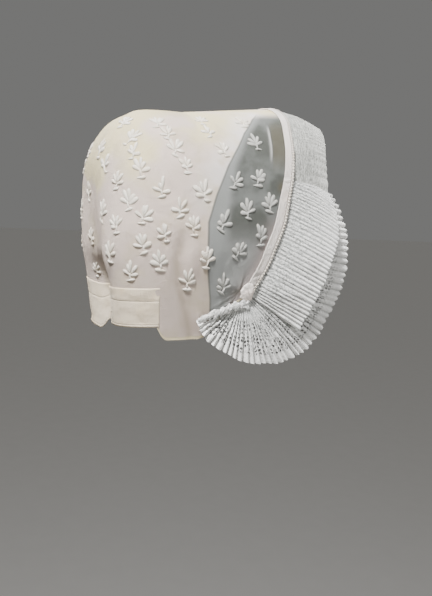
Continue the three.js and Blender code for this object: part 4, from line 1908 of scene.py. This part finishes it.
@dataclass
class BrowLace:
    """The flat net lace over the brow, between the upper tiers."""

    form: CrownForm
    tuck: float = 0.9 * MM
    bulge: float = 3.0 * MM
    last_row: float = 6.44
    corner_step: float = 0.22
    tucked_under: float = 1.1 * MM
    ripple: float = 0.35
    billow: float = 0.9
    scallop: float = 0.7
    scallops: int = 46
    cloth_width: float = 220.0
    cloth_height: float = 55.0
    columns: int = 220
    rows: int = 26
    flat: Span = (0.2, 0.06)

    def point(self, u: float, v: float) -> Vector:
        """A point of the lace at a share along and a share towards its free edge.

        Args:
            u: The share along.
            v: The share across.

        Returns:
            The point.
        """
        side = 1 - 2 * u
        row = self.last_row * abs(side)
        at = self.form.reach_at(row) - self.form.rim_inset + SEAM_GAP
        seam = self.form.side_point(row, at)
        table_row = row if row <= 6 else 6 + (row - 6) / self.corner_step
        edge = free_edge(self.form, BROW_EDGE, table_row, mirrored_start=True)
        out = self.form.outward(max(row, 0.02), at)
        point = seam.lerp(edge, v)
        middle = math.sin(math.pi * v)
        billow = self.billow * noise.noise(Vector((u * 22, v * 3, 8.0))) * middle
        tuck = self.tuck + self.tucked_under * fade(row, 6.1, self.last_row)
        point += out * (self.bulge * middle - tuck + (self.ripple * math.sin(u * 260) * v * v + billow) * MM)
        scallop = self.scallop * abs(math.sin(u * math.pi * self.scallops)) * fade(v, 0.9, 1.0)
        point += (edge - seam).normalized() * scallop * MM
        if side < 0:
            point.x = -point.x
        return point

    def shade(self, u: float, v: float) -> float:
        """How dark the net lies: most in the hollow beside the band."""
        hollow = bell((v - 0.3) / 0.25) * fade(abs(1 - 2 * u), 0.35, 0.9)
        return 0.1 + 0.25 * hollow + 0.15 * (noise.noise(Vector((u * 18, v * 4, 2.0))) + 0.3)

    def build(self) -> bpy.types.Object:
        """Builds the lace.

        Returns:
            The piece.
        """
        readings = {"groove": self.shade, "across_share": lambda u, v: v}
        measure = plain_measure(self.cloth_width, self.cloth_height)
        grid = ClothGrid("brow_net", self.columns, self.rows, self.point, measure, readings)
        lace = NetLace(
            "brow_net_lace",
            thread=(0.28, 0.285, 0.26, 1),
            bright=(0.76, 0.76, 0.71, 1),
            streak=(9.0, 1.5),
            mesh_hole=0.35,
            brightening=(0.35, 1.0),
        )
        piece = piece_from(grid.build(), "brow_net", lace.make())
        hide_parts("brow_lace")
        return piece


def free_edge(
    form: CrownForm, table: Sequence[EdgePoint], row: float, mirrored_start: bool = False
) -> Vector:
    """A point of a lace's free edge on the right side.

    Args:
        form: The crown's form.
        table: The edge's points.
        row: The fractional point to read at.
        mirrored_start: True where the edge runs on over the ridge to the other side.

    Returns:
        The point.
    """
    signs = (-1, 1, 1) if mirrored_start else (0, 0, 0)
    columns = ([getattr(point, name) for point in table] for name in ("side", "forward", "low"))
    side, forward, low = (smooth(column, row, sign) for column, sign in zip(columns, signs))
    return Vector((-side * form.half_width, -forward * form.face_reach, form.top - low * form.height))


def under_seam(form: CrownForm, place: float) -> Vector:
    """A point of the under tier's sewn line on the right side, at a fractional point of its table.

    Args:
        form: The crown's form.
        place: The fractional point.

    Returns:
        The point.
    """
    row = form.row_at(smooth([p.drop for p in UNDER_SEAM], place))
    at = smooth([p.at for p in UNDER_SEAM], place) * form.face_reach
    if place < FAN_START:
        at = form.reach_at(row) - form.rim_inset + SEAM_GAP
    return form.side_point(row, at) + form.outward(row, at) * smooth([p.out for p in UNDER_SEAM], place)


@dataclass(eq=False)
class PleatedFrill:
    """Fine pleated lace between a sewn line and a free edge, on one side of the face.

    Attributes:
        form: The crown's form.
        side: The side of the head.
        pleats: How many pleats it has.
        cells: Mesh cells along each pleat.
        rows: Mesh cells across.
        bulge: How far the middle stands out.
        seam_depth: How deep the pleats are where they are sewn.
        picot: How far the loops stand out of the edge.
        unevenness: How much the pleats differ in width.
        ragged: How far the free edge strays.
        crumpled: How far the lace stands off its mean shape.
        fullness: How much longer the lace is than its free edge.
        samples: Steps in which the sewn line and the free edge are followed.
        seam_line: The sewn line, as followed.
        edge_line: The free edge, as followed.
        lengths: The free edge's length up to each step.
    """

    form: CrownForm
    side: Side
    pleats: int
    cells: int = 8
    rows: int = 18
    bulge: float = 3.0 * MM
    seam_depth: float = 0.3 * MM
    picot: float = 1.1 * MM
    unevenness: float = 0.34
    ragged: float = 1.1 * MM
    crumpled: float = 0.5 * MM
    fullness: float = 1.35
    samples: int = 240
    seam_line: list[Vector] = field(init=False, repr=False)
    edge_line: list[Vector] = field(init=False, repr=False)
    lengths: np.ndarray = field(init=False, repr=False)

    def __post_init__(self) -> None:
        """Follows the sewn line and the free edge once, so that the mesh can read them."""
        shares = [step / self.samples for step in range(self.samples + 1)]
        self.seam_line = [self.seam_at(share) for share in shares]
        self.edge_line = [self.edge_at(share) for share in shares]
        steps = [(b - a).length for a, b in zip(self.edge_line, self.edge_line[1:])]
        self.lengths = np.concatenate([[0.0], np.cumsum(steps)])

    def seam_at(self, share: float) -> Vector:
        """A point of the sewn line."""
        raise NotImplementedError

    def edge_at(self, share: float) -> Vector:
        """A point of the free edge."""
        raise NotImplementedError

    def depth_at(self, share: float) -> float:
        """How deep the pleats are at the free edge."""
        raise NotImplementedError

    def on(self, line: list[Vector], share: float) -> Vector:
        """A point of a followed line.

        Args:
            line: The line's points.
            share: The share along.

        Returns:
            The point.
        """
        where = share * self.samples
        i = min(int(where), self.samples - 1)
        return line[i].lerp(line[i + 1], where - i)

    @lru_cache(maxsize=None)
    def share_at(self, u: float) -> float:
        """Share of the lines at a share of the free edge's length."""
        return float(np.interp(u * self.lengths[-1], self.lengths, np.linspace(0, 1, self.samples + 1)))

    @lru_cache(maxsize=None)
    def pleat_wave(self, u: float) -> float:
        """Height of the pleats, 1 on a ridge and -1 in a groove, a little uneven as pinned by hand."""
        uneven = self.unevenness * noise.noise(Vector((u * self.pleats * 0.7, 3.3, 0.5)))
        return 2 * abs(math.sin(math.pi * (u * self.pleats + uneven))) ** 0.8 - 1

    def seam_share(self, share: float) -> float:
        """Where on the sewn line a pleat starts that ends at that share of the free edge."""
        return share

    def bulge_at(self, share: float) -> float:
        """How far the middle stands out."""
        return self.bulge

    def crumple(self, u: float, v: float) -> float:
        """How far loose lace stands off its mean shape."""
        return self.crumpled * noise.noise(Vector((u * self.pleats * 0.5, v * 4, 1.0)))

    def across(self, share: float, v: float) -> Vector:
        """A point of the ruled sheet under the pleats."""
        return self.on(self.seam_line, self.seam_share(share)).lerp(self.on(self.edge_line, share), v)

    def point(self, u: float, v: float) -> Vector:
        """A point of the lace at a share along its edge and a share out from the seam.

        Args:
            u: The share along.
            v: The share across.

        Returns:
            The point.
        """
        share = self.share_at(u)
        near, before = min(share + 0.006, 1.0), max(share - 0.006, 0.0)
        seam, edge = self.across(share, 0.0), self.across(share, 1.0)
        normal = (self.across(near, v) - self.across(before, v)).cross(edge - seam).normalized()
        if normal.x > 0:
            normal.negate()
        wave = self.pleat_wave(u)
        depth = self.seam_depth + (self.depth_at(share) - self.seam_depth) * v
        lift = self.bulge_at(share) * math.sin(math.pi * v) + depth * wave + self.crumple(u, v)
        point = seam.lerp(edge, v) + normal * lift
        loop = self.picot * (0.5 + 0.5 * wave) * fade(v, 0.9, 1.0)
        uneven = self.ragged * noise.noise(Vector((u * self.pleats * 0.45, 9.0, 0.0))) * v
        point += (edge - seam).normalized() * (loop + uneven)
        if self.side is Side.LEFT:
            point.x = -point.x
        return point

    def measure(self, u: float, v: float) -> tuple[float, float]:
        """Cloth coordinates in millimetres.

        Args:
            u: The share along.
            v: The share across.

        Returns:
            The coordinates.
        """
        share = self.share_at(u)
        width = (self.across(share, 1.0) - self.across(share, 0.0)).length
        return u * self.lengths[-1] * self.fullness / MM, v * width / MM

    def groove(self, u: float, v: float) -> float:
        """How deep in the shade of the pleats a point lies; some pleats are pressed closer than others.

        Args:
            u: The share along.
            v: The share across.

        Returns:
            The share.
        """
        pressed = min(max(0.75 + 1.1 * noise.noise(Vector((u * self.pleats * 0.37, 5.0, 2.0))), 0.3), 1.0)
        patchy = 0.75 + 0.5 * noise.noise(Vector((u * self.pleats * 0.6, v * 5.0, 9.0)))
        return pressed * patchy * (0.5 - 0.5 * self.pleat_wave(u)) ** 1.5 * fade(v, 0.0, 0.1)

    def openwork(self, u: float, v: float) -> float:
        """How far the pierced pattern shows at a point."""
        return 1.0

    def lay(
        self,
        name: str,
        lace: NetLace,
        node: str,
        flat: Span,
        rests_on: list[str],
        worked: Sequence[bpy.types.Object] = (),
    ) -> bpy.types.Object:
        """Args:
            name: The piece's name.
            lace: Its finish.
            node: The solid that it stands for.
            flat: Its size before it was pleated. Not used.
            rests_on: What it is sewn to. Not used.
            worked: The pieces that are sewn on it. Not used.

        Returns:
            The piece.
        """
        readings = {"groove": self.groove, "across_share": lambda u, v: v, "openwork": self.openwork}
        grid = ClothGrid(name, self.pleats * self.cells, self.rows, self.point, self.measure, readings)
        piece = piece_from(grid.build(), name, lace.make())
        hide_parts(node)
        return piece


@dataclass(eq=False)
class SideFrill(PleatedFrill):
    """The upper tier, from the temple to the cheek corner."""

    pleats: int = 37
    tier_out: float = -2.0 * MM
    end_out: float = -3.4 * MM
    start_out: float = -1.1 * MM
    edge_depth: float = 0.6 * MM
    slant: float = 0.075
    smooth_start: float = 0.09
    flat: Span = (0.165, 0.05)

    def seam_at(self, share: float) -> Vector:
        """A point of the sewn line.

        Args:
            share: The share along.

        Returns:
            The point.
        """
        row = self.form.row_at(smooth(SIDE_SEAM_DROPS, share * (len(SIDE_SEAM_DROPS) - 1)))
        at = self.form.reach_at(row) - self.form.rim_inset + SEAM_GAP
        out = self.start_out + (self.tier_out - self.start_out) * fade(share, 0.0, 0.2)
        out += (self.end_out - self.tier_out) * fade(share, 0.75, 1.0)
        return self.form.side_point(row, at) + self.form.outward(row, at) * out

    def edge_at(self, share: float) -> Vector:
        """A point of the free edge."""
        return free_edge(self.form, SIDE_EDGE, share * (len(SIDE_EDGE) - 1))

    def seam_share(self, share: float) -> float:
        """Where on the sewn line a pleat starts; the pleats slant down towards the free edge."""
        return max(share - self.slant * (1 - fade(share, 0.55, 1.0)), 0.0)

    def depth_at(self, share: float) -> float:
        """How deep the pleats are at the free edge; the first ones are pressed nearly flat."""
        return self.edge_depth * (0.15 + 0.85 * fade(share, 0.3 * self.smooth_start, 2 * self.smooth_start))

    def bulge_at(self, share: float) -> float:
        """How far the middle stands out; the last pleats lie down on the under tier."""
        return self.bulge * (1 - 0.7 * fade(share, 0.75, 1.0))

    def groove(self, u: float, v: float) -> float:
        """How deep in the shade of the pleats a point lies."""
        return super().groove(u, v) * fade(u, 0.0, self.smooth_start)

    def openwork(self, u: float, v: float) -> float:
        """The upper tier is pierced only here and there."""
        return 0.12 + 0.3 * fade(u, 0.6, 1.0)

    def build(self) -> bpy.types.Object:
        """Builds the upper tier.

        Returns:
            The piece.
        """
        name = f"pleated_side_{self.side.word}"
        lace = NetLace(
            f"{name}_lace",
            pierced=True,
            pierce_pitch=(2.6, 2.0),
            shade_strength=0.75,
            mesh_hole=0.2,
        )
        return self.lay(name, lace, f"side_frill_{self.side.word}", self.flat, ["face_tape"])


@dataclass(eq=False)
class UnderFrill(PleatedFrill):
    """The under tier, which fans out round the cheek corner and back along the hem."""

    pleats: int = 48
    cells: int = 10
    rows: int = 24
    edge_depth: float = 1.2 * MM
    fan_depth: float = 1.9 * MM
    tip_bulge: float = 1.0 * MM
    loose: float = 2.8 * MM
    tip: Span = (0.84, 0.97)
    flat: Span = (0.42, 0.05)

    def seam_at(self, share: float) -> Vector:
        """A point of the sewn line."""
        return under_seam(self.form, share * UNDER_LAST)

    def edge_at(self, share: float) -> Vector:
        """A point of the free edge."""
        return free_edge(self.form, UNDER_EDGE, share * UNDER_LAST)

    def depth_at(self, share: float) -> float:
        """How deep the pleats are at the free edge."""
        fan = fade(share * UNDER_LAST, FAN_START - 2, FAN_START + 1)
        return self.edge_depth + (self.fan_depth - self.edge_depth) * fan

    def bulge_at(self, share: float) -> float:
        """How far the middle stands out; the fan lies flatter towards its tip."""
        return self.bulge + (self.tip_bulge - self.bulge) * fade(share * UNDER_LAST, FAN_START, UNDER_LAST)

    def crumple(self, u: float, v: float) -> float:
        """How far the loose lace at the fan's tip stands off its mean shape.

        Args:
            u: The share along.
            v: The share across.

        Returns:
            The distance.
        """
        tip = fade(u, *self.tip) * fade(v, 0.25, 0.8)
        lift = abs(noise.noise(Vector((u * 70, v * 6, 4.0))) * 1.6 + 0.25)
        return super().crumple(u, v) + self.loose * tip * lift

    def openwork(self, u: float, v: float) -> float:
        """The pierced pattern shows from the lower part of the tier on."""
        return 0.35 + 0.65 * fade(u, 0.25, 0.4)

    def build(self, heading: bpy.types.Object) -> bpy.types.Object:
        """Builds the under tier.

        Args:
            heading: The heading. Not used.

        Returns:
            The piece.
        """
        name = f"pleated_under_{self.side.word}"
        lace = NetLace(
            f"{name}_lace",
            pierced=True,
            pierce_pitch=(3.45, 3.3),
            shade_strength=0.9,
            mesh_hole=0.2,
        )
        node = f"under_frill_{self.side.word}"
        return self.lay(name, lace, node, self.flat, ["muslin_crown"], [heading])


@dataclass
class FrillHeading:
    """The gathered heading that runs over the fan's sewn line and along its last pleat."""

    form: CrownForm
    side: Side
    start: float = 10.8
    seam_share: float = 0.3
    height: float = 6 * MM
    wall: float = 2.4 * MM
    clear: float = 3.2 * MM
    bulge: float = 1.0 * MM
    lift: float = 1 * MM
    wobble: float = 1.4 * MM
    end: float = 0.012
    gathers: float = 30.0
    gathers_round: float = 1.3
    hollow_cut: Span = (0.0, 0.22)
    cloth_width: float = 75.0
    cloth_height: float = 12.0
    columns: int = 300
    ring: int = 28

    def centre(self, u: float) -> Vector:
        """The middle of the heading at a share along.

        Args:
            u: The share along.

        Returns:
            The point.
        """
        on_pleat = max((u - self.seam_share) / (1 - self.seam_share), 0.0)
        place = self.start + (UNDER_LAST - self.start) * min(u / self.seam_share, 1.0)
        middle = under_seam(self.form, place).lerp(free_edge(self.form, UNDER_EDGE, UNDER_LAST), on_pleat)
        middle.x -= self.clear + self.bulge * math.sin(math.pi * on_pleat)
        middle.z += self.lift + self.wobble * noise.noise(Vector((u * 13, 5.0, 0.0))) * fade(u, 0.0, 0.15)
        return middle

    def gathers_at(self, u: float, v: float) -> Vector:
        """Where the gathers' noise is read, so that they close round the heading."""
        angle, size = 2 * math.pi * v, self.gathers_round
        return Vector((u * self.gathers, math.cos(angle) * size, math.sin(angle) * size))

    def point(self, u: float, v: float) -> Vector:
        """A point of the heading at a share along and a share round.

        Args:
            u: The share along.
            v: The share across.

        Returns:
            The point.
        """
        centre = self.centre(u)
        end = math.sin(math.pi * min(max(u, self.end), 1 - self.end)) ** 0.3
        angle, gathers = 2 * math.pi * v, self.gathers_at(u, v)
        gather = 0.75 + 0.8 * abs(noise.noise(gathers)) + 0.35 * noise.noise(gathers * 2.7)
        broad = 1 + 0.7 * noise.noise(Vector((u * 15, math.cos(angle), 6.0)))
        centre.x -= self.wall / 2 * end * gather * math.cos(angle)
        centre.z += self.height / 2 * end * broad * (0.75 + 0.25 * gather) * math.sin(angle)
        if self.side is Side.LEFT:
            centre.x = -centre.x
        return centre

    def hollow(self, u: float, v: float) -> float:
        """How deep in painted shade a point lies between the gathers."""
        return 1 - fade(abs(noise.noise(self.gathers_at(u, v))), *self.hollow_cut)

    def build(self) -> bpy.types.Object:
        """Builds the heading.

        Returns:
            The piece.
        """
        name = f"gathered_heading_{self.side.word}"
        readings = {"groove": self.hollow, "across_share": lambda u, v: 0.7}
        measure = plain_measure(self.cloth_width, self.cloth_height)
        bm = ClothGrid(name, self.columns, self.ring, self.point, measure, readings).build()
        ends = [edge for edge in bm.edges if edge.is_boundary]
        bmesh.ops.holes_fill(bm, edges=ends)
        bmesh.ops.recalc_face_normals(bm, faces=bm.faces)
        lace = NetLace(f"{name}_lace", thread=(0.66, 0.64, 0.60, 1), streak=(1.6, 4.0), mesh_hole=0.0)
        piece = piece_from(bm, name, lace.make())
        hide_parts(f"frill_heading_{self.side.word}")
        return piece


@dataclass
class Shot:
    """The camera, where the photograph was taken from."""

    place: tuple[float, float, float] = (-0.5732, 0.1971, -0.0780)
    azimuth: float = 247.0
    pitch: float = 8.0
    roll: float = 3.0
    lens: float = 39.99
    sensor: float = 36.0

    def build(self) -> bpy.types.Object:
        """Makes the camera and gives it to the scene.

        Returns:
            The camera.
        """
        a, p, r = (math.radians(x) for x in (self.azimuth, self.pitch, self.roll))
        level = Vector((-math.sin(a), math.cos(a), 0))
        across = level.cross(Vector((0, 0, 1)))
        forward = level * math.cos(p) - Vector((0, 0, math.sin(p)))
        above = across.cross(forward)
        right = across * math.cos(r) + above * math.sin(r)
        up = above * math.cos(r) - across * math.sin(r)
        data = bpy.data.cameras.new("shot")
        data.lens, data.sensor_width, data.sensor_fit = self.lens, self.sensor, "AUTO"
        camera = bpy.data.objects.new("shot", data)
        camera.matrix_world = axes(right, up, -forward, Vector(self.place))
        bpy.context.scene.collection.objects.link(camera)
        bpy.context.scene.camera = camera
        return camera


LAMPS = (
    Lamp("key_light", (-0.52, 0.6, 1.2), 76.0, 0.22),
    Lamp("fill_light", (-1.2, -0.45, 0.1), 8.0, 1.2),
    Lamp("far_light", (1.0, 0.2, 0.6), 8.0, 1.0),
)


@dataclass
class Studio:
    """The pale floor and the soft lights."""

    floor_height: float = -3.0
    reach: float = 60.0
    aim: tuple[float, float, float] = (0.0, 0.0, -0.1)
    sky: Colour = (0.178, 0.178, 0.174, 1)
    sky_strength: float = 1.0
    overhead: float = 0.07
    overhead_angle: float = 1.2

    def hang(self, lamp: Lamp) -> None:
        """Hangs one soft light that looks at the cap.

        Args:
            lamp: The light.
        """
        data = bpy.data.lights.new(lamp.name, "AREA")
        data.energy, data.size = lamp.power, lamp.size
        made = bpy.data.objects.new(lamp.name, data)
        made.location = lamp.place
        made.rotation_euler = (Vector(self.aim) - Vector(lamp.place)).to_track_quat("-Z", "Y").to_euler()
        bpy.context.scene.collection.objects.link(made)

    def hang_overhead(self) -> None:
        """Hangs the weak light from straight above."""
        data = bpy.data.lights.new("overhead_light", "SUN")
        data.energy, data.angle = self.overhead, self.overhead_angle
        bpy.context.scene.collection.objects.link(bpy.data.objects.new("overhead_light", data))

    def lay_floor(self) -> None:
        """Lays the floor."""
        bm = bmesh.new()
        bmesh.ops.create_grid(bm, x_segments=1, y_segments=1, size=self.reach)
        bmesh.ops.translate(bm, verts=bm.verts, vec=(0, 0, self.floor_height))
        mesh = bpy.data.meshes.new("studio_floor")
        bm.to_mesh(mesh)
        bm.free()
        mesh.materials.append(StudioPaper().make())
        floor = bpy.data.objects.new("studio_floor", mesh)
        bpy.context.scene.collection.objects.link(floor)

    def build(self) -> None:
        """Lays the floor and sets the lights and the sky."""
        self.lay_floor()
        for lamp in LAMPS:
            self.hang(lamp)
        self.hang_overhead()
        world = bpy.data.worlds.new("studio")
        world.use_nodes = True
        back = world.node_tree.nodes["Background"]
        back.inputs["Color"].default_value = self.sky
        back.inputs["Strength"].default_value = self.sky_strength
        bpy.context.scene.world = world


def main() -> None:
    """Builds the camera, every piece in order, and the studio."""
    logging.basicConfig(level=logging.INFO, format="%(message)s")
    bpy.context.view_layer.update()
    Shot().build()
    form = CrownForm()
    crown = Crown(form)
    muslin = crown.build()
    sprigs = Sprigs(crown.surface, form).build()
    CrownLining(form).build()
    FaceBand(form).build()
    NapeBand(form, Side.RIGHT).build()
    NapeBand(form, Side.LEFT, hang=LEFT_BAND_HANG, extra=LEFT_BAND_EXTRA).build()
    BrowLace(form).build()
    for side in Side:
        SideFrill(form, side).build()
        UnderFrill(form, side).build(FrillHeading(form, side).build())
    Studio().build()


if __name__ == "__main__":
    main()
